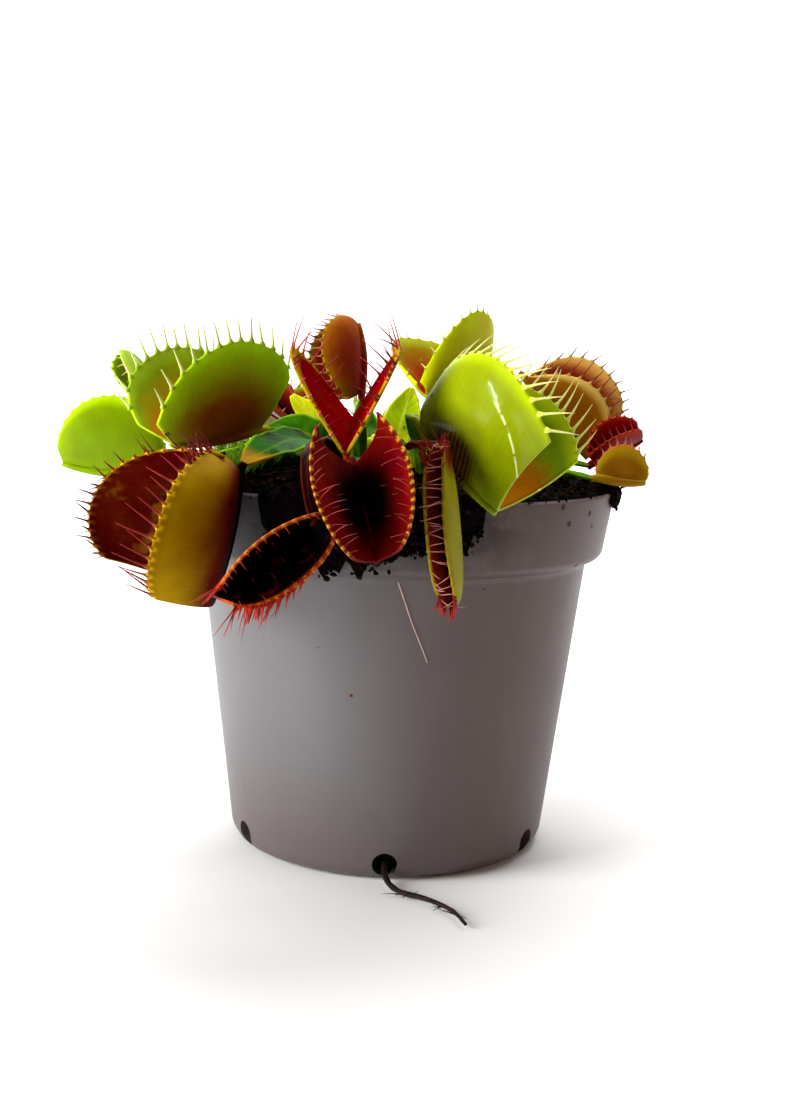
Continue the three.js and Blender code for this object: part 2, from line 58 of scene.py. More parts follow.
def setCamera(look):
    pitch, yaw, roll = (math.radians(look[key]) for key in ("pitch", "yaw", "roll"))
    forward = Vector((math.sin(yaw) * math.cos(pitch), math.cos(yaw) * math.cos(pitch), -math.sin(pitch)))
    right = Vector((math.cos(yaw), -math.sin(yaw), 0))
    up = right.cross(forward)
    turnedRight = math.cos(roll) * right + math.sin(roll) * up
    turnedUp = -math.sin(roll) * right + math.cos(roll) * up
    data = bpy.data.cameras.new("photoCamera")
    data.sensor_fit = "VERTICAL"
    data.sensor_height = look["sensor"]
    data.lens = look["focalPixels"] / look["imageHeight"] * look["sensor"]
    data.clip_start = look["nearest"] * mm
    camera = linked("photoCamera", data)
    turn = Matrix((turnedRight, turnedUp, -forward)).transposed().to_4x4()
    camera.matrix_world = Matrix.Translation(Vector(look["at"]) * mm) @ turn
    bpy.context.scene.camera = camera


roomLight = dict(colour=(1.0, 1.0, 1.0, 1.0), strength=0.1)
softLights = dict(
    windowLeft=dict(at=(-560, -260, 270), aimedAt=(0, 0, 60), size=(320, 420), power=6.4,
                    colour=(1, 0.99, 0.97)),
    fillRight=dict(at=(420, -160, 160), aimedAt=(0, 0, 60), size=(300, 300), power=0.4,
                   colour=(1, 0.66, 0.44)),
    overhead=dict(at=(60, 160, 520), aimedAt=(0, 20, 60), size=(360, 300), power=2.2),
    stripLeft=dict(at=(-159, -113, 51), aimedAt=(16, -46, 79), size=(4, 150), power=0.17,
                   tallAlong=(-35, 55, 76), mirrored=True),  # the bright line on the large shiny trap
    onBackdrop=dict(at=(0, 420, 900), aimedAt=(0, 1100, 250), size=(1600, 500), power=20, mirrored=True))


def addSoftLight(name, at, aimedAt, size, power, colour=(1, 1, 1), tallAlong=(0, 0, 1), mirrored=False):
    data = bpy.data.lights.new(name, "AREA")
    data.shape = "RECTANGLE"
    data.size, data.size_y = size[0] * mm, size[1] * mm
    data.energy = power
    data.color = colour
    light = linked(name, data)
    backward = (Vector(at) - Vector(aimedAt)).normalized()
    tall = Vector(tallAlong)
    tall = (tall - tall.dot(backward) * backward).normalized()
    turn = Matrix((tall.cross(backward), tall, backward)).transposed().to_4x4()
    light.matrix_world = Matrix.Translation(Vector(at) * mm) @ turn
    light.visible_glossy = mirrored


setCamera(cameraLook)
bpy.context.scene.view_settings.view_transform = "Standard"
world = bpy.data.worlds.new("paleRoom")
world.use_nodes = True
world.node_tree.nodes["Background"].inputs["Color"].default_value = roomLight["colour"]
world.node_tree.nodes["Background"].inputs["Strength"].default_value = roomLight["strength"]
bpy.context.scene.world = world
for name, light in softLights.items():
    addSoftLight(name, **light)
print("camera and lights set")


# Shader helpers

def tone(code):
    parts = [int(code[i:i + 2], 16) / 255 for i in (0, 2, 4)]
    linear = [p / 12.92 if p <= 0.04045 else ((p + 0.055) / 1.055) ** 2.4 for p in parts]
    return (*linear, 1.0)


def addNode(tree, kind, **values):
    node = tree.nodes.new(kind)
    for key, value in values.items():
        setattr(node, key, value)
    return node


def feed(tree, socket, value):
    if isinstance(value, bpy.types.NodeSocket):
        tree.links.new(value, socket)
    else:
        socket.default_value = value


def feedAll(tree, node, **values):
    for key, value in values.items():
        feed(tree, node.inputs[key], value)
    return node.outputs


def calc(tree, operation, first, second=0.0, clamp=False):
    node = addNode(tree, "ShaderNodeMath", operation=operation, use_clamp=clamp)
    feed(tree, node.inputs[0], first)
    feed(tree, node.inputs[1], second)
    return node.outputs[0]


def plus(tree, first, second, clamp=False):
    return calc(tree, "ADD", first, second, clamp)


def minus(tree, first, second):
    return calc(tree, "SUBTRACT", first, second)


def times(tree, first, second, clamp=False):
    return calc(tree, "MULTIPLY", first, second, clamp)


def flip(tree, value):
    return minus(tree, 1.0, value)


def ease(tree, value, low, high):
    node = addNode(tree, "ShaderNodeMapRange", interpolation_type="SMOOTHSTEP")
    feed(tree, node.inputs["Value"], value)
    feed(tree, node.inputs["From Min"], low)
    feed(tree, node.inputs["From Max"], high)
    return node.outputs["Result"]


# Thin lines where a rising value passes each whole number and a half
def lineMask(tree, value, width):
    away = calc(tree, "ABSOLUTE", minus(tree, calc(tree, "FRACT", value), 0.5))
    return flip(tree, ease(tree, away, 0.0, width))


# Lays a tone, given as a colour code or a socket, over a colour by an amount from 0 to 1
def mixTones(tree, amount, first, second):
    node = addNode(tree, "ShaderNodeMix", data_type="RGBA")
    for index, value in ((0, amount), (6, first), (7, second)):
        feed(tree, node.inputs[index], tone(value) if isinstance(value, str) else value)
    return node.outputs[2]


def attribute(tree, name):
    return addNode(tree, "ShaderNodeAttribute", attribute_name=name).outputs["Fac"]


def place(tree):
    return addNode(tree, "ShaderNodeTexCoord").outputs["Object"]


def cloudy(tree, scale, detail=3.0, roughness=0.55, vector=None):
    return feedAll(tree, addNode(tree, "ShaderNodeTexNoise"), Vector=vector or place(tree), Scale=scale,
                   Detail=detail, Roughness=roughness)["Fac"]


def startGroup(name, inputs, outputs):
    tree = bpy.data.node_groups.new(name, "ShaderNodeTree")
    for key, value in inputs.items():
        kind = "NodeSocketColor" if isinstance(value, tuple) else "NodeSocketFloat"
        tree.interface.new_socket(name=key, in_out="INPUT", socket_type=kind).default_value = value
    for key in outputs:
        kind = "NodeSocketColor" if key == "colour" else "NodeSocketFloat"
        tree.interface.new_socket(name=key, in_out="OUTPUT", socket_type=kind)
    return tree, tree.nodes.new("NodeGroupInput").outputs, tree.nodes.new("NodeGroupOutput").inputs


def useGroup(tree, group, **values):
    return feedAll(tree, addNode(tree, "ShaderNodeGroup", node_tree=group), **values)


def startMaterial(name, roughness, specular=0.5):
    material = bpy.data.materials.new(name)
    material.use_nodes = True
    tree = material.node_tree
    shader = tree.nodes["Principled BSDF"]
    shader.inputs["Roughness"].default_value = roughness
    shader.inputs["Specular IOR Level"].default_value = specular
    return material, tree, shader.inputs


# Feeds a material's normal from a height. The distance is in millimetres.
def addBump(tree, shader, height, strength, distance):
    node = addNode(tree, "ShaderNodeBump")
    node.inputs["Strength"].default_value = strength
    node.inputs["Distance"].default_value = distance * mm
    feed(tree, node.inputs["Height"], height)
    feed(tree, shader["Normal"], node.outputs["Normal"])


# Light that passes through a thin leaf
def addGlow(shader, weight):
    shader["Subsurface Weight"].default_value = weight
    shader["Subsurface Radius"].default_value = (0.6, 0.8, 0.1)
    shader["Subsurface Scale"].default_value = 1.2 * mm


# Patches of slightly lighter and darker colour, as on any leaf, plastic or soil
def makeMottling():
    inputs = dict(colour=(1.0, 1.0, 1.0, 1.0), scale=150.0, amount=0.3)
    tree, given, result = startGroup("mottling", inputs, ["colour"])
    shift = times(tree, minus(tree, cloudy(tree, given["scale"], 4.0, 0.6), 0.5), given["amount"])
    tint = addNode(tree, "ShaderNodeHueSaturation")
    made = feedAll(tree, tint, Color=given["colour"], Hue=plus(tree, 0.5, times(tree, shift, 0.08)),
                   Value=plus(tree, 1.0, times(tree, shift, 2.0)))
    feed(tree, result["colour"], made["Color"])
    return tree


# Scattered dark specks of peat
def makeSpecks():
    tree, given, result = startGroup("peatSpecks", dict(scale=300.0, amount=0.3), ["mask"])
    cells = feedAll(tree, addNode(tree, "ShaderNodeTexVoronoi"), Vector=place(tree), Scale=given["scale"])
    chosen = calc(tree, "GREATER_THAN", given["amount"], cloudy(tree, times(tree, given["scale"], 0.37)))
    near = flip(tree, ease(tree, cells["Distance"], 0.12, 0.24))
    feed(tree, result["mask"], times(tree, near, chosen))
    return tree


# Fine surface grain, as a height
def makeGrain():
    tree, given, result = startGroup("fineGrain", dict(scale=900.0, coarse=0.5), ["height"])
    fine = cloudy(tree, given["scale"], 3.0, 0.6)
    broad = cloudy(tree, times(tree, given["scale"], 0.2), 2.0)
    feed(tree, result["height"], plus(tree, times(tree, broad, given["coarse"]), fine))
    return tree


# Marks that follow a trap's lobe: a blush, the margin band, and veins from the midrib outward
def makeLobeMarks():
    inputs = dict(blushAlong=0.5, blushRise=0.0, blushLength=2.0, blushWidth=0.5, softness=0.4, ripple=0.5,
                  marginFrom=0.85, veinCount=24.0)
    tree, given, result = startGroup("lobeMarks", inputs, ["blush", "margin", "veins"])
    along, rise = attribute(tree, "along"), attribute(tree, "rise")
    cloud = minus(tree, cloudy(tree, 220.0, 3.0), 0.5)
    sideways = calc(tree, "DIVIDE", minus(tree, along, given["blushAlong"]), given["blushLength"])
    upward = calc(tree, "DIVIDE", minus(tree, rise, given["blushRise"]), given["blushWidth"])
    squares = plus(tree, times(tree, sideways, sideways), times(tree, upward, upward))
    reach = plus(tree, calc(tree, "SQRT", squares), times(tree, cloud, given["ripple"]))
    fade = ease(tree, reach, flip(tree, given["softness"]), plus(tree, 1.0, given["softness"]))
    feed(tree, result["blush"], flip(tree, fade))
    feed(tree, result["margin"], ease(tree, rise, given["marginFrom"], 1.0))
    lines = plus(tree, times(tree, along, given["veinCount"]), times(tree, cloud, 1.2))
    beforeMargin = ease(tree, flip(tree, rise), 0.0, 0.3)
    feed(tree, result["veins"], times(tree, lineMask(tree, lines, 0.22), beforeMargin))
    return tree


# Marks of winged stalks and leaf blades: midrib, side veins, edge and foot
def makeLeafMarks():
    inputs = dict(veinCount=14.0, ribWidth=0.14)
    tree, given, result = startGroup("leafMarks", inputs, ["rib", "veins", "edge", "foot"])
    along, side = attribute(tree, "along"), attribute(tree, "rise")
    feed(tree, result["rib"], flip(tree, ease(tree, side, 0.0, given["ribWidth"])))
    slant = minus(tree, along, times(tree, side, 0.12))
    lines = plus(tree, times(tree, slant, given["veinCount"]), cloudy(tree, 300.0))
    feed(tree, result["veins"], lineMask(tree, lines, 0.2))
    feed(tree, result["edge"], ease(tree, side, 0.8, 1.0))
    feed(tree, result["foot"], flip(tree, ease(tree, along, 0.1, 0.4)))
    return tree


mottling = makeMottling()
peatSpecks = makeSpecks()
fineGrain = makeGrain()
lobeMarks = makeLobeMarks()
leafMarks = makeLeafMarks()


def mottled(tree, colour, scale, amount):
    return useGroup(tree, mottling, colour=tone(colour) if isinstance(colour, str) else colour, scale=scale,
                    amount=amount)["colour"]


def specked(tree, colour, scale, amount, dirt):
    mask = useGroup(tree, peatSpecks, scale=scale, amount=amount)["mask"]
    return mixTones(tree, times(tree, mask, 0.8), colour, dirt)


def grain(tree, scale, coarse=0.5):
    return useGroup(tree, fineGrain, scale=scale, coarse=coarse)["height"]


# What a trap's skin has unless its own settings say otherwise. The blush sits at shares of the trap's length
# and of the lobe's depth.
skinLook = dict(roughness=0.5, specular=0.08, blushAt=(0.5, 0), blushSize=(2, 0.5), softness=0.45, ripple=0.5,
                marginFrom=0.8, veinCount=24, veins=0.08, ridges=0.2, beadFrom=0.93, patchScale=330,
                patchAmount=0.7, mottle=0.35, dirt=0.34, glow=0.1, coat=0, coatRoughness=0.09)
insideLook = dict(specular=0.03, roughness=0.8, glow=0, ridges=0.5)

# Raised crease on a lobe with a painted highlight along it: it leaves the rise at a share of the lobe's depth
# and bends toward the fold past the turn
highlightCreaseLook = dict(rise=0.78, turn=0.52, slope=0.25, curve=3.0, power=4.0, width=(0.006, 0.019),
                  fadeIn=(0.1, 0.2), breakScale=900.0, breaks=(0.36, 0.5), height=2.0)


def highlightCreaseMask(tree):
    past = minus(tree, attribute(tree, "along"), highlightCreaseLook["turn"])
    curved = calc(tree, "POWER", calc(tree, "MAXIMUM", past, 0.0), highlightCreaseLook["power"])
    bent = plus(tree, times(tree, past, highlightCreaseLook["slope"]), times(tree, curved, highlightCreaseLook["curve"]))
    away = minus(tree, plus(tree, attribute(tree, "rise"), bent), highlightCreaseLook["rise"])
    highlightCrease = flip(tree, ease(tree, calc(tree, "ABSOLUTE", away), *highlightCreaseLook["width"]))
    return times(tree, highlightCrease, ease(tree, past, *highlightCreaseLook["fadeIn"]))


# Skin of one face of a trap
def skinMaterial(name, own):
    look = {**skinLook, **own}
    material, tree, shader = startMaterial(name, look["roughness"], look["specular"])
    marks = useGroup(tree, lobeMarks, blushAlong=look["blushAt"][0], blushRise=look["blushAt"][1],
                     blushLength=look["blushSize"][0], blushWidth=look["blushSize"][1],
                     **{key: look[key] for key in ("softness", "ripple", "marginFrom", "veinCount")})
    colour = mixTones(tree, marks["blush"], look["base"], look["blush"])
    if "paintedFoldShade" in look:  # painted shade, darker still toward the midrib in the fold
        depth = flip(tree, ease(tree, attribute(tree, "rise"), *look["foldShadeRange"]))
        colour = mixTones(tree, depth, colour, look["paintedFoldShade"])
    veinTone = look.get("veinTone", look["blush"])
    colour = mixTones(tree, times(tree, marks["veins"], look["veins"]), colour, veinTone)
    colour = mixTones(tree, marks["margin"], colour, look["margin"])
    height = times(tree, marks["veins"], look["ridges"])
    if "ribLine" in look:  # the midrib shows as a thin line in the fold
        line = flip(tree, ease(tree, attribute(tree, "rise"), 0.005, 0.04))
        line = times(tree, line, ease(tree, attribute(tree, "along"), 0.35, 0.7))
        colour = mixTones(tree, line, colour, look["ribLine"])
    # a raised crease with a painted highlight streak along it, broken into pieces
    if "paintedHighlightCrease" in look:
        highlightCrease = highlightCreaseMask(tree)
        gaps = ease(tree, cloudy(tree, highlightCreaseLook["breakScale"], 2.0), *highlightCreaseLook["breaks"])
        colour = mixTones(tree, times(tree, highlightCrease, gaps), colour, look["paintedHighlightCrease"])
        height = plus(tree, height, times(tree, highlightCrease, highlightCreaseLook["height"]))
    if "bead" in look:  # a paler bead at the root of every tooth
        roots = ease(tree, attribute(tree, "bead"), 0.1, 0.7)
        edge = ease(tree, attribute(tree, "rise"), look["beadFrom"], 0.99)
        colour = mixTones(tree, times(tree, roots, edge), colour, look["bead"])
    if "patches" in look:
        patch = ease(tree, cloudy(tree, look["patchScale"], 2.0), 0.56, 0.68)
        colour = mixTones(tree, times(tree, patch, look["patchAmount"]), colour, look["patches"])
    colour = mottled(tree, colour, 170.0, look["mottle"])
    feed(tree, shader["Base Color"], specked(tree, colour, 430.0, look["dirt"], "2a1206"))
    addBump(tree, shader, plus(tree, height, grain(tree, 1500.0, 1.5)), 0.35, 0.12)
    addGlow(shader, look["glow"])
    shader["Coat Weight"].default_value = look["coat"]  # wet shine
    shader["Coat Roughness"].default_value = look["coatRoughness"]
    return material


# Teeth, hairs and moss: their own rise runs from 1 at the root to 2 at the tip
def toothMaterial(name, root, tip, changeAt=0.6):
    material, tree, shader = startMaterial(name, 0.5, 0.2)
    share = minus(tree, attribute(tree, "rise"), 1.0)
    colour = mixTones(tree, ease(tree, share, 0.0, changeAt), root, tip)
    feed(tree, shader["Base Color"], mottled(tree, colour, 600.0, 0.3))
    addBump(tree, shader, cloudy(tree, 2500.0), 0.2, 0.05)
    return material


def leafMaterial(name, look):
    material, tree, shader = startMaterial(name, 0.42, 0.03)
    marks = useGroup(tree, leafMarks, veinCount=14.0, ribWidth=0.16)
    colour = mixTones(tree, ease(tree, cloudy(tree, 110.0), 0.35, 0.65), look["shade"], look["base"])
    for key, share in (("veins", look["veinShare"]), ("rib", 0.6), ("edge", 0.7), ("foot", 0.8)):
        colour = mixTones(tree, times(tree, marks[key], share), colour, look[key])
    if "end" in look:  # the neck takes the colour of its trap
        colour = mixTones(tree, ease(tree, attribute(tree, "along"), 0.82, 0.93), colour, look["end"])
    colour = mottled(tree, colour, 200.0, 0.4)
    feed(tree, shader["Base Color"], specked(tree, colour, 380.0, 0.36, "1c0d05"))
    addBump(tree, shader, minus(tree, grain(tree, 1300.0, 2.0), times(tree, marks["veins"], 0.8)), 0.4, 0.15)
    addGlow(shader, 0.12)
    return material


# Mesh helpers

def heading(azimuth, elevation):
    a, e = math.radians(azimuth), math.radians(elevation)
    return Vector((math.cos(e) * math.cos(a), math.cos(e) * math.sin(a), math.sin(e)))


# Point at a turn, in radians, and a distance from the pot's axis
def around(turn, radius, z=0.0):
    return Vector((radius * math.cos(turn), radius * math.sin(turn), z))


def layer(bm, name):
    return bm.verts.layers.float.get(name) or bm.verts.layers.float.new(name)


def smoothFaces(bm):
    for face in bm.faces:
        face.smooth = True


def meshFrom(bm, name, materials=()):
    mesh = bpy.data.meshes.new(name)
    bm.to_mesh(mesh)
    bm.free()
    for material in materials:
        mesh.materials.append(material)
    return mesh


# The shape that an object has after its modifiers
def shapeOf(made):
    finished = bmesh.new()
    finished.from_mesh(made.evaluated_get(bpy.context.evaluated_depsgraph_get()).to_mesh())
    return finished


# Turns a bmesh in millimetres into an object that rides on the part and stands for its CAD nodes
def finishPiece(name, bm, materials, nodes=()):
    bm.transform(Matrix.Scale(mm, 4))
    piece = linked(name, meshFrom(bm, name, materials))
    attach(piece, "root")
    if nodes:
        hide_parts(*nodes)


# Gives an open sheet its wall, rounds it off and returns it as a new bmesh.
# Weights of the vertex group "wall" run from thin, 0, to full thickness, 1.
def thicken(bm, thickness, thinnest):
    mesh = meshFrom(bm, "sheet", [None] * 3)  # empty slots keep inside, outside and edge apart
    sheet = linked("sheet", mesh)
    sheet.vertex_groups.new(name="wall")
    wall = sheet.modifiers.new("wall", "SOLIDIFY")
    wall.thickness = thickness
    wall.offset = 0
    wall.vertex_group = "wall"
    wall.thickness_vertex_group = thinnest
    wall.material_offset = 1
    wall.material_offset_rim = 2
    rounding = sheet.modifiers.new("rounding", "SUBSURF")
    rounding.levels = rounding.render_levels = 1
    finished = shapeOf(sheet)
    bpy.data.objects.remove(sheet)
    bpy.data.meshes.remove(mesh)
    smoothFaces(finished)
    return finished


# Tube from a circle that is extruded from point to point, closed at both ends
def addTube(bm, points, radii, sides, along=None, material=0):
    alongLayer = layer(bm, "along")
    ring = bmesh.ops.create_circle(bm, segments=sides, radius=1)["verts"]
    outline = [v.co.copy() for v in ring]
    edges = list({e for v in ring for e in v.link_edges})
    firstEdges = edges
    last = len(points) - 1
    tangents = [(points[min(i + 1, last)] - points[max(i - 1, 0)]).normalized() for i in range(len(points))]
    turn = Vector((0, 0, 1)).rotation_difference(tangents[0])
    made = []
    for i, point in enumerate(points):
        if i:
            turn = tangents[i - 1].rotation_difference(tangents[i]) @ turn
            grown = bmesh.ops.extrude_edge_only(bm, edges=edges)["geom"]
            edges = [g for g in grown if isinstance(g, bmesh.types.BMEdge)]
            newRing = {v: None for v in grown if isinstance(v, bmesh.types.BMVert)}
            made += [g for g in grown if isinstance(g, bmesh.types.BMFace)]
            ring = [next(o for o in (e.other_vert(v) for e in v.link_edges) if o in newRing) for v in ring]
        for vert, corner in zip(ring, outline):
            vert.co = point + turn @ (corner * radii[i])
            vert[alongLayer] = along[i] if along else i / last
    for loop in (firstEdges, edges):
        made += bmesh.ops.edgeloop_fill(bm, edges=loop)["faces"]
    bmesh.ops.recalc_face_normals(bm, faces=made)
    for face in made:
        face.smooth = True
        face.material_index = material


# A tapered spike, 1 long and about 1 wide at its flared root, used for teeth, hairs and moss
def makeSpike(flare):
    bm = bmesh.new()
    bmesh.ops.create_cone(bm, cap_ends=True, segments=6, radius1=1, radius2=0.2, depth=1)
    bmesh.ops.translate(bm, verts=bm.verts, vec=(0, 0, 0.5))
    upright = [e for e in bm.edges if abs(e.verts[0].co.z - e.verts[1].co.z) > 0.5]
    bmesh.ops.subdivide_edges(bm, edges=upright, cuts=5)
    for vert in bm.verts:
        t = vert.co.z
        size = (1 + flare * max(0, 1 - t / 0.18) ** 2) * (1 - 0.82 * t ** 1.1)
        flat = Vector((vert.co.x, vert.co.y)).normalized() * size
        vert.co.x, vert.co.y = flat.x, flat.y
    smoothFaces(bm)
    return meshFrom(bm, "spike")


toothSpike = makeSpike(1.3)
hairSpike = makeSpike(0.6)
down = Vector((0, 0, -1))


# Sets a spike on a point. It grows along one direction and bends toward another.
def addSpike(bm, spike, root, direction, toward, length, radius, bend, along=0.5, material=0, flat=1.0):
    alongLayer, riseLayer = layer(bm, "along"), layer(bm, "rise")
    before, beforeFaces = len(bm.verts), len(bm.faces)
    bm.from_mesh(spike)
    bm.verts.ensure_lookup_table()
    bm.faces.ensure_lookup_table()
    upward = direction.normalized()
    inward = (toward - toward.dot(upward) * upward).normalized()
    sideways = upward.cross(inward)
    for vert in bm.verts[before:]:
        x, y, t = vert.co
        lift = upward * (length * t) + inward * (bend * length * t * t)
        vert.co = root + (inward * x + sideways * y * flat) * radius + lift
        vert[alongLayer] = along
        vert[riseLayer] = 1 + t
    for face in bm.faces[beforeFaces:]:
        face.material_index = material


# Traps

trapShape = dict(curl=40, back=0.15, front=0.15, cup=0.1, arch=0.06, teeth=13, tooth=0.32, lean=10, start=8,
                 finish=8, fullness=0.8, thickness=0.8, thinnest=0.62, hook=0.22, toothRadius=0.21,
                 scallop=0.3, scallopFrom=0.7, offset=0, rowsEach=9, jitter=1, sweep=((0, 0), (0, 0)),
                 scatter=0.12, shortFrom=2, tufts=())
toothGrowth = dict(root=0.985, below=0.85, strayAngle=9, strayLength=0.18, strayBend=(0.4, 1.4), stub=0.16,
                   flat=1.3)
tuftGrowth = dict(root=0.98, radius=0.13, strayAngle=14, hang=-60, lengths=(0.6, 1.0), bend=0.35, flat=1.2)
triggerHairs = dict(spots=((0.36, 0.42), (0.64, 0.42), (0.5, 0.62)), length=1.6, radius=0.09, bend=0.1)
trapFaces = dict(inside=0, outside=1, margin=2, teeth=3, tuft=4)  # material numbers
midrib = dict(neck=((-1.6, 0, -1.1), (-0.7, 0, -0.75)), neckRadii=(0.62, 0.72), below=0.6, radius=0.8,
              taper=0.35, sides=10)  # the neck, seen from the trap's origin, meets the stalk's end
stalkEnd = (-1.1, 0, -1)


# Turn round a lobe's outline at s along the trap
def outlineTurn(trap, s):
    first = math.radians(trap["start"])
    return first + (math.pi - first - math.radians(trap["finish"])) * s


# Point of a lobe at s along the trap and r from the fold, 0, to the margin, 1
def lobePoint(trap, side, s, r):
    turn = outlineTurn(trap, s)
    cosine = math.cos(turn)
    bulge = trap["back"] if cosine > 0 else trap["front"]
    marginAlong = trap["long"] / 2 * (1 - (1 + bulge * abs(cosine)) * cosine)
    along = (1 - r) * trap["long"] * s + r * marginAlong
    out = r * trap["deep"] * math.sin(turn) ** trap["fullness"]
    hinge = math.radians(trap["gape"] / 2 + trap["curl"] / 2)
    bend = math.radians(trap["curl"]) / trap["deep"]
    across = (math.cos(hinge - bend * out) - math.cos(hinge)) / bend
    high = (math.sin(hinge) - math.sin(hinge - bend * out)) / bend
    fromMiddle = 2 * along / trap["long"] - 1
    pinch = trap["cup"] * trap["deep"] * fromMiddle ** 2 * r ** 2
    lift = trap["arch"] * trap["long"] * (fromMiddle ** 2 - 1)
    return Vector((along, side * (across - pinch), high + lift))


# Direction in which the lobe runs out at its margin
def outwardAt(trap, side, s, r):
    return (lobePoint(trap, side, s, r) - lobePoint(trap, side, s, toothGrowth["below"])).normalized()


def trapPlacement(trap):
    along = heading(*trap["heads"])
    mouth = heading(*trap["faces"])
    mouth = (mouth - mouth.dot(along) * along).normalized()
    turn = Matrix((along, mouth.cross(along), mouth)).transposed().to_4x4()
    return Matrix.Translation(Vector(trap["at"])) @ turn


# Both lobes from one grid that is bent by the lobe's form, with a scalloped margin
def lobesSheet(trap):
    bm = bmesh.new()
    pitches = 2 * trap["teeth"] + 1
    bmesh.ops.create_grid(bm, x_segments=2 * pitches, y_segments=2 * trap["rowsEach"], size=0.5)
    alongLayer, riseLayer, beadLayer = layer(bm, "along"), layer(bm, "rise"), layer(bm, "bead")
    weights = bm.verts.layers.deform.verify()
    for vert in bm.verts:
        s, across = vert.co.x + 0.5, vert.co.y * 2
        side = 1 if across > 0 else -1
        r = (1 - math.cos(math.pi * abs(across))) / 2  # rows closer together at the fold and at the margin
        rootAt = (s * pitches - 1.5) / 2 + trap["offset"] * side
        crest = (0.5 + 0.5 * math.cos(2 * math.pi * rootAt)) ** 2  # 1 at the root of each tooth
        vert.co = lobePoint(trap, side, s, r)
        if r > trap["scallopFrom"]:
            vert.co += outwardAt(trap, side, s, 1) * (trap["scallop"] * (crest - 0.4) * r ** 18)
        vert[alongLayer], vert[riseLayer], vert[beadLayer] = s, r, crest
        vert[weights][0] = max(0.0, 1 - r) ** 0.6
    return bm


def addTeeth(bm, trap, picker):
    pitches = 2 * trap["teeth"] + 1
    stray = trap["jitter"]
    for side in (-1, 1):
        sweepFirst, sweepLast = trap["sweep"][side < 0]
        for k in range(trap["teeth"]):
            s = (2 * k + 1.5 - 2 * trap["offset"] * side) / pitches
            root = lobePoint(trap, side, s, toothGrowth["root"])
            direction = outwardAt(trap, side, s, toothGrowth["root"])
            angle = toothGrowth["strayAngle"]
            direction.y -= side * math.tan(math.radians(trap["lean"] + stray * picker.uniform(-angle, angle)))
            direction.x += sweepFirst + (sweepLast - sweepFirst) * s
            direction.x += stray * picker.uniform(-1, 1) * trap["scatter"]
            swell = 0.5 + 0.5 * math.sin(outlineTurn(trap, s))
            length = trap["tooth"] * trap["long"] * swell
            length *= 1 - stray * picker.uniform(0, toothGrowth["strayLength"])
            if s > trap["shortFrom"]:
                length *= toothGrowth["stub"]
            bend = trap["hook"] * picker.uniform(*toothGrowth["strayBend"])
            addSpike(bm, toothSpike, root, direction, Vector((0, -side, 0)), length, trap["toothRadius"],
                     bend, s, trapFaces["teeth"], toothGrowth["flat"])


# Three trigger hairs on the inside of each lobe
def addTriggers(bm, trap):
    for side in (-1, 1):
        for s, r in triggerHairs["spots"]:
            point = lobePoint(trap, side, s, r)
            du = lobePoint(trap, side, s + 0.01, r) - point
            dv = lobePoint(trap, side, s, r + 0.01) - point
            addSpike(bm, hairSpike, point, du.cross(dv) * side, Vector((1, 0, 0)), triggerHairs["length"],
                     triggerHairs["radius"], triggerHairs["bend"], s, trapFaces["teeth"])


# Thick midrib under the fold, drawn out to meet the stalk
def addMidrib(bm, trap):
    stations = [i / 10 for i in range(1, 11)]
    points = [Vector(p) for p in midrib["neck"]]
    points += [lobePoint(trap, 1, s, 0) - Vector((0, 0, midrib["below"])) for s in stations]
    radii = [*midrib["neckRadii"], *(midrib["radius"] - midrib["taper"] * s ** 3 for s in stations)]
    addTube(bm, points, radii, midrib["sides"], [0.0, 0.0, *stations], trapFaces["outside"])


# Long loose teeth that hang or stand away from part of a margin
def addTuft(bm, trap, picker, side, span, count, length, aim, radius=tuftGrowth["radius"]):
    turn = trapPlacement(trap).to_3x3().normalized().inverted()
    angle = tuftGrowth["strayAngle"]
    for _ in range(count):
        s = picker.uniform(*span)
        root = lobePoint(trap, side, s, tuftGrowth["root"])
        grows = heading(aim[0] + picker.uniform(-angle, angle), aim[1] + picker.uniform(-angle, angle))
        bends = heading(picker.uniform(0, 360), tuftGrowth["hang"])
        long = length * picker.uniform(*tuftGrowth["lengths"])
        addSpike(bm, toothSpike, root, turn @ grows, turn @ bends, long, radius,
                 picker.uniform(0, tuftGrowth["bend"]), s, trapFaces["tuft"], tuftGrowth["flat"])


def makeTrap(name, spec):
    trap = {**trapShape, **spec}
    picker = random.Random(name)
    bm = thicken(lobesSheet(trap), trap["thickness"], trap["thinnest"])
    addTeeth(bm, trap, picker)
    addTriggers(bm, trap)
    addMidrib(bm, trap)
    for tuft in trap["tufts"]:
        addTuft(bm, trap, picker, **tuft)
    bm.transform(trapPlacement(trap))
    label = "trap_" + name
    skins = dict(inside={**insideLook, **trap["inner"]}, outside=trap["outer"],
                 margin={**trap["outer"], "marginFrom": 0.2})
    teeth = dict(teeth=trap["teethLook"], tuft=trap.get("tuftLook", trap["teethLook"]))
    materials = [skinMaterial(label + "_" + key, look) for key, look in skins.items()]
    materials += [toothMaterial(label + "_" + key, **look) for key, look in teeth.items()]
    finishPiece(name + "_trap", bm, materials, [label])


# Stalks and blades

bladeShape = dict(stem=2, neck=1.3, fold=0.25, waves=2.5, wave=0.5, reach=9, rise=7, lean=1, ruffle=0.22,
                  thickness=1.1, thinnest=0.5, faces=(0, 90), look="green", columns=36, rows=8)
rosette = dict(centre=(-3, 1), rings=dict(inner=4.2, middle=7.5, outer=10.5), soilTop=66.4, depth=3)


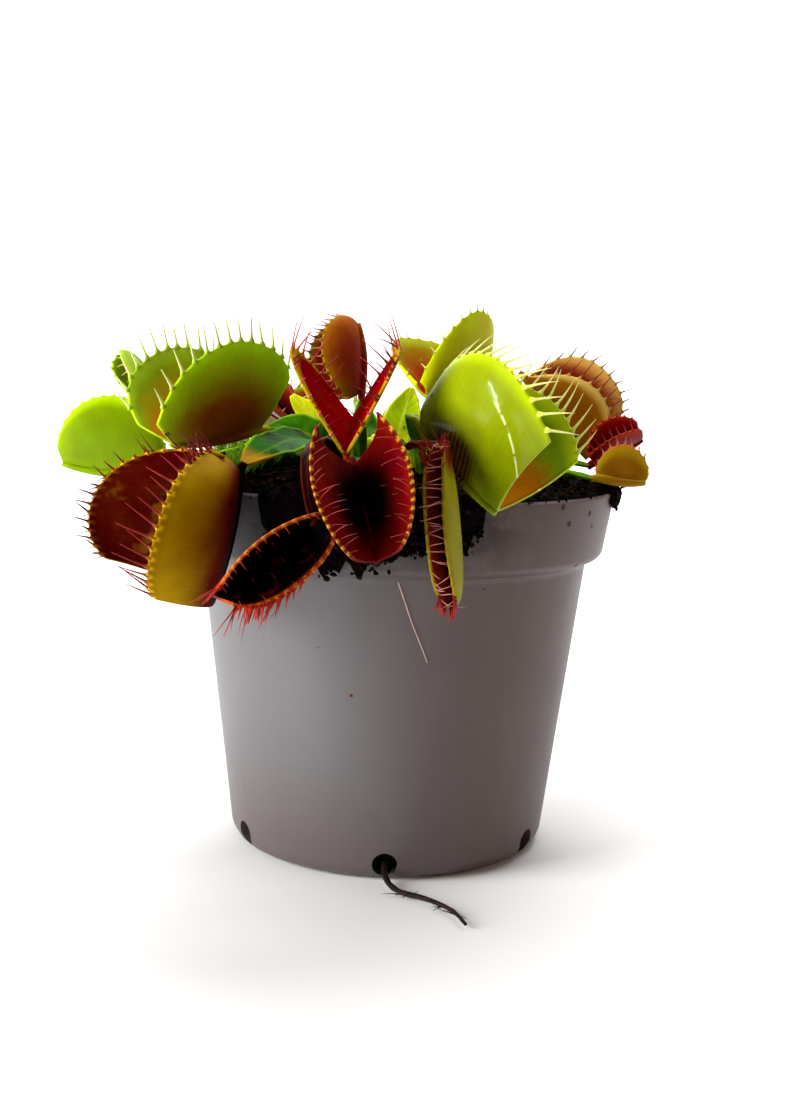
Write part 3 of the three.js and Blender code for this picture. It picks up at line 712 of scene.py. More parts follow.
def leafCurve(leaf):
    turn = math.radians(leaf["turn"])
    root = Vector((*rosette["centre"], rosette["soilTop"] - rosette["depth"]))
    root += around(turn, rosette["rings"][leaf["ring"]])
    end = Vector(leaf["end"])
    first = root + around(turn, leaf["lean"], leaf["rise"])
    last = end - heading(*leaf["heads"]) * leaf["reach"]

    def at(t):
        u = 1 - t
        return root * u ** 3 + first * (3 * u * u * t) + last * (3 * u * t * t) + end * t ** 3

    return at


# Point of a blade at t along it and v across it, from -1 to 1: folded along its middle and wavy at its edges
def leafPoint(leaf, curve, t, v):
    t = min(1.0, max(0.0, t))
    step = 0.002
    along = (curve(min(1.0, t + step)) - curve(max(0.0, t - step))).normalized()
    across = heading(*leaf["faces"]).cross(along).normalized()
    normal = along.cross(across).normalized()
    swell = max(0.0, math.sin(math.pi * t ** 1.3)) ** 0.9
    plain = leaf["stem"] + (leaf["neck"] - leaf["stem"]) * t
    half = (plain + (leaf["wide"] - plain) * swell) / 2
    fade = math.sin(math.pi * t)
    phase = 0 if v > 0 else 1.5
    wave = leaf["wave"] * fade * math.sin(2 * math.pi * leaf["waves"] * t + phase)
    ruffle = leaf["ruffle"] * fade * math.sin(2 * math.pi * leaf["waves"] * 3.1 * t + 2 * phase) * v ** 2
    return curve(t) + across * (v * half) + normal * (abs(v) * (leaf["fold"] * half + wave) + ruffle)


def makeBlade(name, spec, node=None):
    leaf = {**bladeShape, **spec}
    curve = leafCurve(leaf)
    bm = bmesh.new()
    bmesh.ops.create_grid(bm, x_segments=leaf["columns"], y_segments=leaf["rows"], size=0.5)
    alongLayer, riseLayer = layer(bm, "along"), layer(bm, "rise")
    weights = bm.verts.layers.deform.verify()
    for vert in bm.verts:
        t, v = vert.co.x + 0.5, vert.co.y * 2
        vert.co = leafPoint(leaf, curve, t, v)
        vert[alongLayer], vert[riseLayer] = t, abs(v)
        vert[weights][0] = max(0.0, 1 - abs(v) / 0.45) ** 1.5  # thick only near the midrib
    bm = thicken(bm, leaf["thickness"], leaf["thinnest"])
    for face in bm.faces:
        face.material_index = 0
    finishPiece(name, bm, [leafMaterials[leaf["look"]]],
                [node or name])


# One leaf: the winged stalk and its trap
def makeLeaf(name, stalk, trap):
    end = trapPlacement(trap) @ Vector(stalkEnd)
    makeBlade(name + "_stalk", {"heads": trap["heads"], **stalk, "end": end}, "petiole_" + name)
    makeTrap(name, trap)


leafLooks = dict(
    green=dict(base="3c7a04", shade="0a3402", veins="5c9008", veinShare=0.14, rib="7a9014", edge="86b010",
               foot="5c6e12", slot="leaf_green"),
    lime=dict(base="d4dc10", shade="98b404", veins="dce438", veinShare=0.16, rib="d4d840", edge="dce428",
              foot="8a9a2a", slot="leaf_green"),
    ochreEnd=dict(base="1f5c02", shade="041c02", veins="3c7804", veinShare=0.12, rib="4c7a0a", edge="7cb008",
                  foot="34500a", end="96700a", slot="leaf_olive"),
    olive=dict(base="8a7a18", shade="4a3a08", veins="b08a30", veinShare=0.22, rib="b0702a", edge="a88a28",
               foot="5a2a10", slot="leaf_olive"),
    wine=dict(base="3a0c06", shade="1c0503", veins="5a1a0c", veinShare=0.22, rib="6a2410", edge="4a1208",
              foot="2a0a05", slot="leaf_olive"))
leafMaterials = {key: leafMaterial(key + "Leaf", look) for key, look in leafLooks.items()}
print("helpers ready")


# Leaves of the left side
leftFar = dict(
    stalk=dict(ring="outer", turn=168, wide=6, rise=12, reach=14, heads=(182, -25)),
    trap=dict(
        at=(-46, 12, 66), heads=(182, 3), faces=(95, 70), long=18, deep=15, gape=35, curl=60, tooth=0.08,
        toothRadius=0.2, slot="trap_lime",
        outer=dict(base="7a9600", blush="6c8600", blushAt=(0.5, 0.4), blushSize=(0.45, 0.4),
                   margin="acd404"),
        inner=dict(base="9ab41a", blush="a8801e", blushSize=(0.7, 0.5), margin="b4cc22"),
        teethLook=dict(root="b4cc22", tip="d2da6a")))
makeLeaf("left_far", **leftFar)

leftUpper = dict(
    stalk=dict(ring="middle", turn=190, wide=9, rise=8, heads=(205, -5), faces=(267, 50)),
    trap=dict(
        at=(-24.8, -1, 75.5), heads=(221, -8), faces=(150, 86), long=19.5, deep=20, gape=63, curl=38,
        back=0.39, front=0.42, cup=0, arch=0.04, tooth=0.34, start=18, finish=4, fullness=0.59,
        toothRadius=0.25, hook=0.1, slot="trap_green",
        outer=dict(base="a2d400", blush="80400a", blushAt=(0.47, 0.18), blushSize=(0.55, 0.56),
                   softness=0.6, ripple=0.2, margin="b0e000", marginFrom=0.86, glow=0.25),
        inner=dict(base="78a00a", blush="9c6204", blushAt=(0.6, 0), blushSize=(1.2, 0.7), margin="a2c424"),
        teethLook=dict(root="a6c828", tip="e0e890", changeAt=0.35)))
makeLeaf("left_upper", **leftUpper)

leftLower = dict(
    stalk=dict(ring="outer", turn=206, wide=9.2, rise=15, reach=14, heads=(250, -10), faces=(265, 50),
               look="ochreEnd"),
    trap=dict(
        at=(-25.6, -33, 69.7), heads=(153, -77), faces=(216, 1), long=22.5, deep=24.8, gape=59, curl=85,
        back=0.26, front=-0.1, cup=0.22, arch=0.04, teeth=17, tooth=0.28, start=4, finish=45, fullness=0.48,
        hook=0.3, scallop=0.4, toothRadius=0.15, jitter=1.8, sweep=((-0.3, -0.2), (-0.3, -0.2)),
        slot="trap_olive",
        tufts=[dict(side=-1, span=(0.02, 0.3), count=8, length=4.4, aim=(205, 52), radius=0.15),
               dict(side=1, span=(0, 0.16), count=10, length=4.2, aim=(200, 68), radius=0.15),
               dict(side=-1, span=(0.35, 0.98), count=16, length=3.4, aim=(205, -20), radius=0.08)],
        outer=dict(base="a07c00", blush="600800", blushSize=(4, 0.6), softness=0.3, ripple=0.16,
                   # the near-black toward the midrib is painted shade in the fold
                   paintedFoldShade="060000", foldShadeRange=(0.2, 0.5), margin="8a6400", marginFrom=0.9, bead="e0b40c",
                   beadFrom=0.95, specular=0.03),
        inner=dict(base="661002", blush="240202", blushSize=(4, 0.6), margin="5c0800", bead="8a3c10",
                   patches="94580c", patchScale=230, mottle=0.6),
        teethLook=dict(root="b8780a", tip="7c1210", changeAt=0.25),
        tuftLook=dict(root="7a1a06", tip="5a0a0a", changeAt=0.3)))
makeLeaf("left_lower", **leftLower)

frontLeft = dict(
    stalk=dict(ring="outer", turn=236, wide=2.5, rise=12, reach=18, heads=(318, -72), look="wine"),
    trap=dict(
        at=(-13.2, -43.5, 62.8), heads=(206, -34), faces=(279, -4), long=18.6, deep=12.4, gape=42, curl=6,
        back=0.17, front=-0.05, arch=0.12, start=28, fullness=0.42, tooth=0.12, toothRadius=0.12, lean=30,
        hook=0.3, jitter=2.2, slot="trap_maroon",
        tufts=[dict(side=1, span=(0.5, 0.97), count=12, length=6, aim=(228, -55), radius=0.12),
               dict(side=1, span=(0.35, 0.97), count=26, length=3.2, aim=(250, -70), radius=0.2),
               dict(side=-1, span=(0.92, 1), count=7, length=5, aim=(212, -25))],
        outer=dict(base="8a1c06", blush="5a0a04", margin="a8420e", marginFrom=0.75, bead="c07a24"),
        # the inner face's near-black base and blush are painted shade inside the mouth; the patches and
        # margin keep the lobe's red
        inner=dict(base="180201", blush="050000", blushAt=(0.5, 0.2), blushSize=(2, 0.8), margin="7a2408",
                   marginFrom=0.9, bead="a85a1a", patches="4a0c08", patchScale=420),
        teethLook=dict(root="8a2c06", tip="7c1c18", changeAt=0.5),
        tuftLook=dict(root="981a04", tip="a83c34", changeAt=0.9)))
makeLeaf("front_left", **frontLeft)

leftSmall = dict(
    stalk=dict(ring="middle", turn=150, wide=4, rise=10, reach=5, look="olive"),
    trap=dict(
        at=(-20.6, 14, 75.5), heads=(150, 30), faces=(200, 60), long=9, deep=7, gape=50, teeth=9, tooth=0.2,
        toothRadius=0.14, slot="trap_maroon",
        outer=dict(base="6e1410", blush="4a0a08", margin="8a3a20", roughness=0.2),
        inner=dict(base="7a1212", blush="4a0606", margin="8a3a20"),
        teethLook=dict(root="8a3a20", tip="c06a70")))
makeLeaf("left_small", **leftSmall)

leftBack = dict(
    stalk=dict(ring="outer", turn=143, wide=5, rise=11, reach=10),
    trap=dict(
        at=(-47.3, 26, 79), heads=(150, 45), faces=(180, 40), long=12, deep=8, gape=25, curl=60, teeth=9,
        tooth=0.15, toothRadius=0.16, scallop=0.35, slot="trap_green",
        outer=dict(base="8aa808", blush="7a8a10", blushAt=(0.4, 0.3), blushSize=(0.3, 0.3),
                   margin="a4c020"),
        inner=dict(base="86a410", blush="a8701e", blushSize=(0.8, 0.5), margin="a4c020"),
        teethLook=dict(root="a4c020", tip="ccd668")))
makeLeaf("left_back", **leftBack)

# Leaves of the middle
centreUpper = dict(
    stalk=dict(ring="inner", turn=225, wide=3, rise=11, reach=5, neck=2.2),
    trap=dict(
        at=(-7.4, -26, 78.2), heads=(268, -19), faces=(0, 92), long=14.7, deep=16.8, gape=62, curl=2,
        back=-0.1, front=0.1, cup=0.01, arch=-0.02, start=12, finish=4, fullness=0.9, tooth=0.5,
        toothRadius=0.17, hook=0.1, lean=40, jitter=1.6, shortFrom=0.55, slot="trap_crimson",
        tufts=[dict(side=1, span=(0.45, 0.95), count=8, length=5, aim=(205, 45), radius=0.17),
               dict(side=-1, span=(0.5, 0.95), count=5, length=3.6, aim=(20, 55), radius=0.15)],
        outer=dict(base="8e6800", blush="7a1800", blushSize=(2, 0.42), softness=0.5, ripple=0.3,
                   margin="a08406", specular=0.05),
        inner=dict(base="740000", blush="840400", blushSize=(2, 0.4), margin="a88408", marginFrom=0.84,
                   bead="b89410", specular=0),
        teethLook=dict(root="b8901a", tip="b83c48", changeAt=0.2),
        tuftLook=dict(root="8a3c0a", tip="5c0806", changeAt=0.3)))
makeLeaf("centre_upper", **centreUpper)

frontCentre = dict(
    stalk=dict(ring="middle", turn=262, wide=3, reach=12, heads=(266, 2)),
    trap=dict(
        at=(-6.5, -43, 72), heads=(300, -60), faces=(273, 10), long=16.1, deep=16.9, gape=50, curl=34,
        back=1.14, front=0.17, cup=0.08, arch=-0.02, teeth=15, tooth=0.25, start=44, finish=13,
        fullness=0.36, hook=0.35, lean=58, jitter=2.6, sweep=((-1.6, -0.5), (-1.6, -0.5)), scatter=0.2,
        toothRadius=0.08, slot="trap_crimson",
        outer=dict(base="6a1a0a", blush="4a0a04", margin="6a1408", bead="c08a22"),
        # the inner face's near-black blush is painted shadow across the middle of the lobe
        inner=dict(base="640202", blush="0a0000", blushAt=(0.42, 0.12), blushSize=(0.36, 0.34),
                   softness=0.5, ripple=0.2, margin="4a0402", marginFrom=0.93, bead="b87a1c",
                   ribLine="8c2404"),
        teethLook=dict(root="6e1006", tip="b0544a", changeAt=0.95)))
makeLeaf("front_centre", **frontCentre)

frontRight = dict(
    stalk=dict(ring="outer", turn=275, wide=2.2, rise=9, heads=(326, 2), look="wine"),
    trap=dict(
        at=(7.4, -44.3, 74.6), heads=(350, -83), faces=(252, 5), long=22, deep=11, gape=14, curl=60,
        teeth=17, tooth=0.18, lean=52, hook=0.2, offset=0.25, jitter=2.5, scatter=0.5, toothRadius=0.09,
        slot="trap_maroon",
        tufts=[dict(side=1, span=(0.84, 1), count=20, length=2.7, aim=(262, -72), radius=0.17),
               dict(side=-1, span=(0.84, 1), count=18, length=2.7, aim=(250, -68), radius=0.17),
               dict(side=-1, span=(0, 0.2), count=12, length=3.6, aim=(210, 55)),
               dict(side=1, span=(0, 0.2), count=8, length=3, aim=(300, 50))],
        outer=dict(base="8a8808", blush="5a1006", blushAt=(0, 0.5), blushSize=(0.22, 3), softness=0.3,
                   margin="8a7a0c", marginFrom=0.86),
        inner=dict(base="a83804", blush="2a0400", blushSize=(2, 0.42), margin="a84808"),
        teethLook=dict(root="8c1006", tip="d09484"),
        tuftLook=dict(root="6a0804", tip="9c1c10", changeAt=0.8)))
makeLeaf("front_right", **frontRight)

backCentre = dict(
    stalk=dict(ring="inner", turn=110, wide=6, rise=8, reach=8),
    trap=dict(
        at=(-8.1, 24, 81), heads=(100, 70), faces=(200, 10), long=15, deep=11, gape=40, curl=60, tooth=0.22,
        toothRadius=0.16, scallop=0.4, slot="trap_olive",
        outer=dict(base="a85404", blush="7a0e02", blushAt=(0.3, 0.2), blushSize=(0.5, 0.5), softness=0.6,
                   margin="a87010", specular=0.06, glow=0.25),
        inner=dict(base="7a1208", blush="4a0604", margin="8f6a14"),
        teethLook=dict(root="8f6a14", tip="b05050")))
makeLeaf("back_centre", **backCentre)

# Leaves of the right side
rightLarge = dict(
    stalk=dict(ring="outer", turn=317, wide=2.6, rise=8, reach=5, heads=(285, -24)),
    trap=dict(
        at=(3.8, -31, 78.8), heads=(318, -39), faces=(32, 71), long=21.1, deep=20.7, gape=59, curl=35,
        back=0.19, front=0.6, cup=0.13, arch=0.04, teeth=15, tooth=0.28, start=4, finish=43, fullness=0.58,
        toothRadius=0.2, sweep=((0, 0), (-0.25, 1.15)), slot="trap_lime",
        outer=dict(base="8a9a00", blush="1c0300", blushAt=(0.46, 0.09), blushSize=(0.34, 0.34),
                   softness=0.5, ripple=0.4, veins=0.15, veinTone="6a7a06", margin="aec400",
                   # the pale crease line is a painted highlight
                   marginFrom=0.86, roughness=0.45, coat=0.27, ridges=0.1, paintedHighlightCrease="dcea96"),
        inner=dict(base="688804", blush="9c6002", blushSize=(2, 0.6), softness=0.3, margin="a4b808",
                   veins=0.3),
        teethLook=dict(root="c8d848", tip="dcdc88", changeAt=0.4)))
makeLeaf("right_large", **rightLarge)

backRight = dict(
    stalk=dict(ring="inner", turn=25, wide=6),
    trap=dict(
        at=(16.5, 24, 83.5), heads=(225, -8), faces=(115, 75), long=16, deep=18, gape=75, curl=20, back=0.4,
        tooth=0.14, toothRadius=0.16, slot="trap_lime",
        outer=dict(base="cccc00", blush="a8a402", blushAt=(0.5, 0.2), blushSize=(0.5, 0.4), margin="ccd810",
                   glow=0.3),
        inner=dict(base="9a8c08", blush="861002", blushAt=(0.5, 0.1), blushSize=(1.2, 0.62), softness=0.6,
                   margin="a8b426"),
        teethLook=dict(root="b0c030", tip="d8d888")))
makeLeaf("back_right", **backRight)

rightBack = dict(
    stalk=dict(ring="outer", turn=358, wide=4, rise=11, reach=10, heads=(10, 40)),
    trap=dict(
        at=(24.3, 8, 85.7), heads=(5, -50), faces=(61, 112), long=19.4, deep=13.7, gape=35, curl=85, back=0,
        front=0, cup=0.02, arch=0.01, tooth=0.26, start=4, finish=15, fullness=0.82, toothRadius=0.13,
        slot="trap_tan",
        tufts=[dict(side=-1, span=(0.2, 0.9), count=16, length=3.6, aim=(20, 35), radius=0.09)],
        outer=dict(base="8a5202", blush="744002", blushAt=(0.5, 0.4), blushSize=(0.5, 0.4), margin="c8a850",
                   marginFrom=0.84),
        inner=dict(base="bc8434", blush="7a2410", blushAt=(0.5, 0.5), blushSize=(0.6, 0.3),
                   margin="c49a50"),
        teethLook=dict(root="b08a40", tip="6a1418", changeAt=0.3),
        tuftLook=dict(root="7a1010", tip="6a1820")))
makeLeaf("right_back", **rightBack)

rightRed = dict(
    stalk=dict(ring="outer", turn=18, wide=3.6, rise=6, reach=12, heads=(0, -10)),
    trap=dict(
        at=(35.9, -3, 71.2), heads=(0, 27), faces=(265, 50), long=9.5, deep=7, gape=40, curl=30, tooth=0.26,
        finish=25, teeth=9, toothRadius=0.12, scallop=0.35, slot="trap_crimson",
        outer=dict(base="8a0404", blush="6a0202", blushSize=(2, 0.6), margin="a0200a"),
        inner=dict(base="960404", blush="6a0202", blushSize=(2, 0.6), margin="a0280c"),
        teethLook=dict(root="9a3c1a", tip="8a2a3a")))
makeLeaf("right_red", **rightRed)

rightRim = dict(
    stalk=dict(ring="outer", turn=338, wide=3.4, rise=8, reach=8, heads=(350, -10)),
    trap=dict(
        at=(35.6, -13, 69.2), heads=(0, -5), faces=(60, 35), long=8, deep=6.5, gape=60, curl=20, teeth=9,
        toothRadius=0.15, scallop=0.35, slot="trap_tan",
        outer=dict(base="a08408", blush="8a5806", blushAt=(0.5, 0.3), blushSize=(0.5, 0.4),
                   margin="c4701c"),
        inner=dict(base="a0602a", blush="7a2a10", blushSize=(2, 0.6), margin="b8682a"),
        teethLook=dict(root="b8682a", tip="7a2a2a")))
makeLeaf("right_rim", **rightRim)

# Leaves of the far side, coloured like the ones that the picture shows
rearInside = dict(base="8a3a10", blush="7a1206", blushSize=(2, 0.75), softness=0.4, margin="98b020",
                  marginFrom=0.86, veins=0.3)
rearLeft = dict(
    stalk=dict(ring="outer", turn=118, wide=7, rise=9, reach=12),
    trap=dict(
        at=(-22, 36, 73), heads=(125, 0), faces=(50, 70), long=21, deep=16, gape=60, slot="trap_green",
        outer=dict(base="6c9208", blush="5c5a08", blushAt=(0.4, 0.3), blushSize=(0.4, 0.3),
                   margin="9cb81e"),
        inner=rearInside,
        teethLook=dict(root="a0bc24", tip="d4da80")))
makeLeaf("rear_left", **rearLeft)

rearMiddle = dict(
    stalk=dict(ring="outer", turn=92, wide=7, rise=9, reach=12),
    trap=dict(
        at=(-1, 37, 71), heads=(88, -20), faces=(80, 70), long=22, deep=16, gape=75, slot="trap_green",
        outer=dict(base="7a9a08", blush="6a5008", blushAt=(0.6, 0.3), blushSize=(0.4, 0.3),
                   margin="9cb81e"),
        inner={**rearInside, "base": "a04a14"},
        teethLook=dict(root="a0bc24", tip="c87a70")))
makeLeaf("rear_middle", **rearMiddle)

rearRight = dict(
    stalk=dict(ring="outer", turn=66, wide=7, rise=9, reach=12),
    trap=dict(
        at=(20, 38, 71), heads=(60, -35), faces=(50, 50), long=22, deep=16, gape=40, curl=60,
        slot="trap_olive",
        outer=dict(base="7e6a0e", blush="6a1c08", blushAt=(0.5, 0.1), blushSize=(2, 0.35), margin="a0902a"),
        inner={**rearInside, "base": "6a1206"},
        teethLook=dict(root="a0902a", tip="b85048")))
makeLeaf("rear_right", **rearRight)
print("traps and stalks made")

# Leaf blades without an open trap
bladeUpright = dict(ring="inner", turn=144, wide=6, rise=13, end=(-20, 7, 81), heads=(160, 50),
                    faces=(250, 30), neck=1, look="lime")
bladeDark = dict(ring="inner", turn=315, wide=4, end=(1.5, -10, 73), heads=(300, -10), faces=(270, 60),
                 neck=1)
bladeCentre = dict(ring="inner", turn=70, wide=8, rise=8, end=(2.5, 10.5, 83), heads=(60, 65),
                   faces=(270, 30), neck=1, wave=0.9, look="lime")
bladeRight = dict(ring="middle", turn=350, wide=9, rise=8, end=(10, -1, 81), heads=(340, 65),
                  faces=(250, 30), neck=1, wave=0.9, look="lime")
makeBlade("blade_upright", bladeUpright)
makeBlade("blade_dark", bladeDark)
makeBlade("blade_centre", bladeCentre)
makeBlade("blade_right", bladeRight)
print("blades made")


# Nursery pot: spun profile, rounded rim and foot, round drain holes
pot = dict(height=66, rimRadius=40, bandRadius=38.2, bandHeight=12, bodyTop=35.4, baseRadius=28.8, wall=1,
           floor=1.4, lip=0.1, steps=160, rounding=0.35, drainCount=6, drainRadius=2.2, drainHeight=3)


def wallRadius(z):
    return pot["baseRadius"] + (pot["bodyTop"] - pot["baseRadius"]) * z / (pot["height"] - pot["bandHeight"])


# Profile of the outside, from the foot to the rim, moved in by an inset
def outline(inset, bottom, top):
    step = pot["height"] - pot["bandHeight"]
    profile = [(wallRadius(0) - 2.4, bottom), (wallRadius(1) - 0.8, bottom + 0.7),
               (wallRadius(2.4), bottom + 2.4), (wallRadius(20), 20), (wallRadius(40), 40),
               (wallRadius(step - 1.6), step - 1.6), (wallRadius(step) + 0.5, step - 0.6),
               (pot["bandRadius"] - 0.7, step), (pot["bandRadius"], step + 0.9), (pot["rimRadius"], top)]
    return [(radius - inset, z) for radius, z in profile]


def spun(points, steps):
    bm = bmesh.new()
    verts = [bm.verts.new((r, 0, z)) for r, z in points]
    edges = [bm.edges.new(pair) for pair in zip(verts, verts[1:])]
    bmesh.ops.spin(bm, geom=verts + edges, cent=(0, 0, 0), axis=(0, 0, 1), dvec=(0, 0, 0), angle=2 * math.pi,
                   steps=steps, use_merge=True)
    bmesh.ops.remove_doubles(bm, verts=bm.verts, dist=1e-4)
    bmesh.ops.recalc_face_normals(bm, faces=bm.faces)
    if bm.calc_volume(signed=True) < 0:
        bmesh.ops.reverse_faces(bm, faces=bm.faces)
    return bm


def potMaterial():
    material, tree, shader = startMaterial("potPlastic", 0.4, 0.45)
    where = feedAll(tree, addNode(tree, "ShaderNodeSeparateXYZ"), Vector=place(tree))
    colour = mottled(tree, "5e5c5e", 26.0, 0.12)
    stretched = addNode(tree, "ShaderNodeMapping")
    stretched.inputs["Scale"].default_value = (1, 1, 0.12)
    feed(tree, stretched.inputs["Vector"], place(tree))
    rubbed = cloudy(tree, 160.0, 5.0, 0.65, stretched.outputs["Vector"])
    colour = mixTones(tree, times(tree, ease(tree, rubbed, 0.55, 0.8), 0.25), colour, "7e7e80")
    # painted brown shade toward the foot and a painted warm brown reflection on one side
    marks = times(tree, ease(tree, where["X"], -0.018, 0.022), 0.6)
    foot = flip(tree, ease(tree, where["Z"], 0.0, 0.03))
    marks = calc(tree, "MAXIMUM", marks, times(tree, foot, 0.4))
    marks = times(tree, marks, plus(tree, 0.7, times(tree, rubbed, 0.6)), True)
    colour = mixTones(tree, marks, colour, "421c0e")
    # peat washed down from the rim: specks all round, and a dark stain on the band at the front that is peat
    # and painted shade under the traps
    amount = plus(tree, 0.27, times(tree, ease(tree, where["Z"], 0.045, 0.066), 0.22))
    dirt = useGroup(tree, peatSpecks, scale=330.0, amount=amount)["mask"]
    sideways = calc(tree, "ABSOLUTE", plus(tree, where["X"], 0.002))
    front = times(tree, flip(tree, ease(tree, sideways, 0.012, 0.03)), ease(tree, where["Y"], 0.0, -0.03))
    stainAndShade = times(tree, front, ease(tree, where["Z"], 0.05, 0.062))
    stainAndShade = times(tree, stainAndShade, ease(tree, cloudy(tree, 190.0, 5.0, 0.7), 0.3, 0.62))
    dirty = calc(tree, "MAXIMUM", times(tree, dirt, 0.85), times(tree, stainAndShade, 0.85))
    feed(tree, shader["Base Color"], mixTones(tree, dirty, colour, "1d0f08"))
    rough = plus(tree, 0.36, times(tree, cloudy(tree, 60.0, 4.0), 0.16))
    feed(tree, shader["Roughness"], plus(tree, rough, times(tree, dirty, 0.4), True))
    scratches = times(tree, ease(tree, rubbed, 0.6, 0.75), 0.5)
    height = plus(tree, plus(tree, grain(tree, 2600.0, 0.8), scratches), times(tree, dirty, 1.5))
    addBump(tree, shader, height, 0.25, 0.05)
    return material


def makePot():
    top = pot["height"] - pot["lip"]
    inside = outline(pot["wall"], pot["floor"], top)
    rim = [(pot["rimRadius"] - pot["lip"], pot["height"]),
           (pot["rimRadius"] - pot["wall"] + pot["lip"], pot["height"])]
    bm = spun([(0, 0), *outline(0, 0, top), *rim, *reversed(inside), (0, pot["floor"])], pot["steps"])
    rings = [e for e in bm.edges if e.is_manifold and e.calc_face_angle() > math.radians(14)
             and abs(e.verts[0].co.z - e.verts[1].co.z) < 0.01]
    bmesh.ops.bevel(bm, geom=rings, offset=pot["rounding"], affect="EDGES", segments=3, profile=0.5,
                    material=-1)
    holes = bmesh.new()
    for k in range(pot["drainCount"]):
        drill = bmesh.ops.create_cone(holes, cap_ends=True, segments=28, radius1=pot["drainRadius"],
                                      radius2=pot["drainRadius"], depth=12)["verts"]
        turn = Matrix.Rotation(math.radians(270 + 360 * k / pot["drainCount"]), 4, "Z")
        shift = Matrix.Translation((wallRadius(0), 0, pot["drainHeight"]))
        bmesh.ops.transform(holes, matrix=turn @ shift @ Matrix.Rotation(math.pi / 2, 4, "Y"), verts=drill)
    shell, drills = linked("shell", meshFrom(bm, "shell")), linked("drills", meshFrom(holes, "drills"))
    cut = shell.modifiers.new("drainHoles", "BOOLEAN")
    cut.operation, cut.solver, cut.object = "DIFFERENCE", "FAST", drills
    finished = shapeOf(shell)
    bpy.data.objects.remove(shell)
    bpy.data.objects.remove(drills)
    smoothFaces(finished)
    for edge in finished.edges:  # keeps the holes' rims crisp
        edge.smooth = not edge.is_manifold or edge.calc_face_angle() < math.radians(50)
    finishPiece("nursery_pot", finished, [potMaterial()], ["pot"])


makePot()
print("pot made")


# Peat: a body spun to the pot's inside with a clumpy top, spills over the rim, crumbs and fibres
peat = dict(top=66.4, mound=1.6, steps=180, rings=46, inset=1.1, reach=38.5, shapes=6,
            crumbs=dict(count=1500, sizes=(0.35, 1.15), brown=0.3),
            rimCrumbs=dict(count=150, sizes=(0.2, 0.5), brown=0.4),
            spillCrumbs=dict(sizes=(0.3, 0.8), brown=0.25),
            fibres=dict(count=90, lengths=(2.5, 6.5), radius=0.1, bend=0.3))
# the front spill and the smear are peat that also stands in for the shade the traps cast on the band below
# them
spills = dict(front=dict(start=237, end=278, drop=13, thickness=1.0, crumbs=480),
              peatSmearAndShade=dict(start=270, end=291, drop=10, thickness=0.7, crumbs=220),
              right=dict(start=-20, end=4, drop=3.5, thickness=1.1, crumbs=170))


def soilMaterial(name, dark, light, wet):
    material, tree, shader = startMaterial(name, 0.95, 0.05)
    colour = mixTones(tree, ease(tree, cloudy(tree, 420.0, 5.0, 0.7), 0.38, 0.75), dark, light)
    feed(tree, shader["Base Color"], mottled(tree, colour, 900.0, 0.6))
    wetness = times(tree, ease(tree, cloudy(tree, 240.0), 0.5, 0.7), wet)
    feed(tree, shader["Roughness"], minus(tree, 0.95, wetness))
    addBump(tree, shader, grain(tree, 1600.0, 2.0), 0.8, 0.4)
    return material


peatDark = soilMaterial("peatDark", "030101", "0c0503", 0.3)
peatBrown = soilMaterial("peatBrown", "180b06", "361b0d", 0.2)
peatRed = soilMaterial("peatRed", "2c0b05", "5c1f0c", 0.2)


def clumps(point):
    broad = noise.noise(point * 0.32)
    middle = noise.noise(point * 0.85 + Vector((7, 3, 1)))
    fine = noise.noise(point * 2.1 + Vector((1, 9, 4)))
    return 0.55 * broad + 0.4 * middle + 0.22 * fine


def peatHeight(x, y):
    share = min(1.0, math.hypot(x, y) / (peat["reach"] - 0.1))
    return peat["top"] + peat["mound"] * (1 - share ** 2) + clumps(Vector((x, y, 0))) * (1 - 0.6 * share ** 6)


def makeCrumb(picker):
    bm = bmesh.new()
    bmesh.ops.create_icosphere(bm, subdivisions=1, radius=1)
    for vert in bm.verts:
        vert.co *= picker.uniform(0.65, 1.15)
    return meshFrom(bm, "crumb")


# Sets a crumb on every spot. A share of the crumbs is brown and takes the second material.
def scatter(bm, shapes, picker, spots, sizes, brown):
    for spot in spots:
        size = picker.uniform(*sizes) * picker.uniform(0.6, 1.0)
        angle = picker.uniform(0, 6.28)
        turn = Matrix.Rotation(angle, 4, (picker.uniform(-1, 1), picker.uniform(-1, 1), 0.3))
        scale = Matrix.Diagonal((size, size * picker.uniform(0.6, 1), size * picker.uniform(0.5, 0.9), 1))
        crumb = picker.choice(shapes).copy()
        crumb.transform(Matrix.Translation(spot) @ turn @ scale)
        number = 1 if picker.random() < brown else 0
        crumb.polygons.foreach_set("material_index", [number] * len(crumb.polygons))
        bm.from_mesh(crumb)
        bpy.data.meshes.remove(crumb)


# Radius of the rim band's outside
def outsideAt(z):
    share = (z - pot["height"] + pot["bandHeight"]) / pot["bandHeight"]
    return pot["bandRadius"] + (pot["rimRadius"] - pot["bandRadius"]) * share


# How full a spill is at a share of its width
def spillFullness(share):
    return math.sin(math.pi * (0.04 + 0.92 * share)) ** 0.4


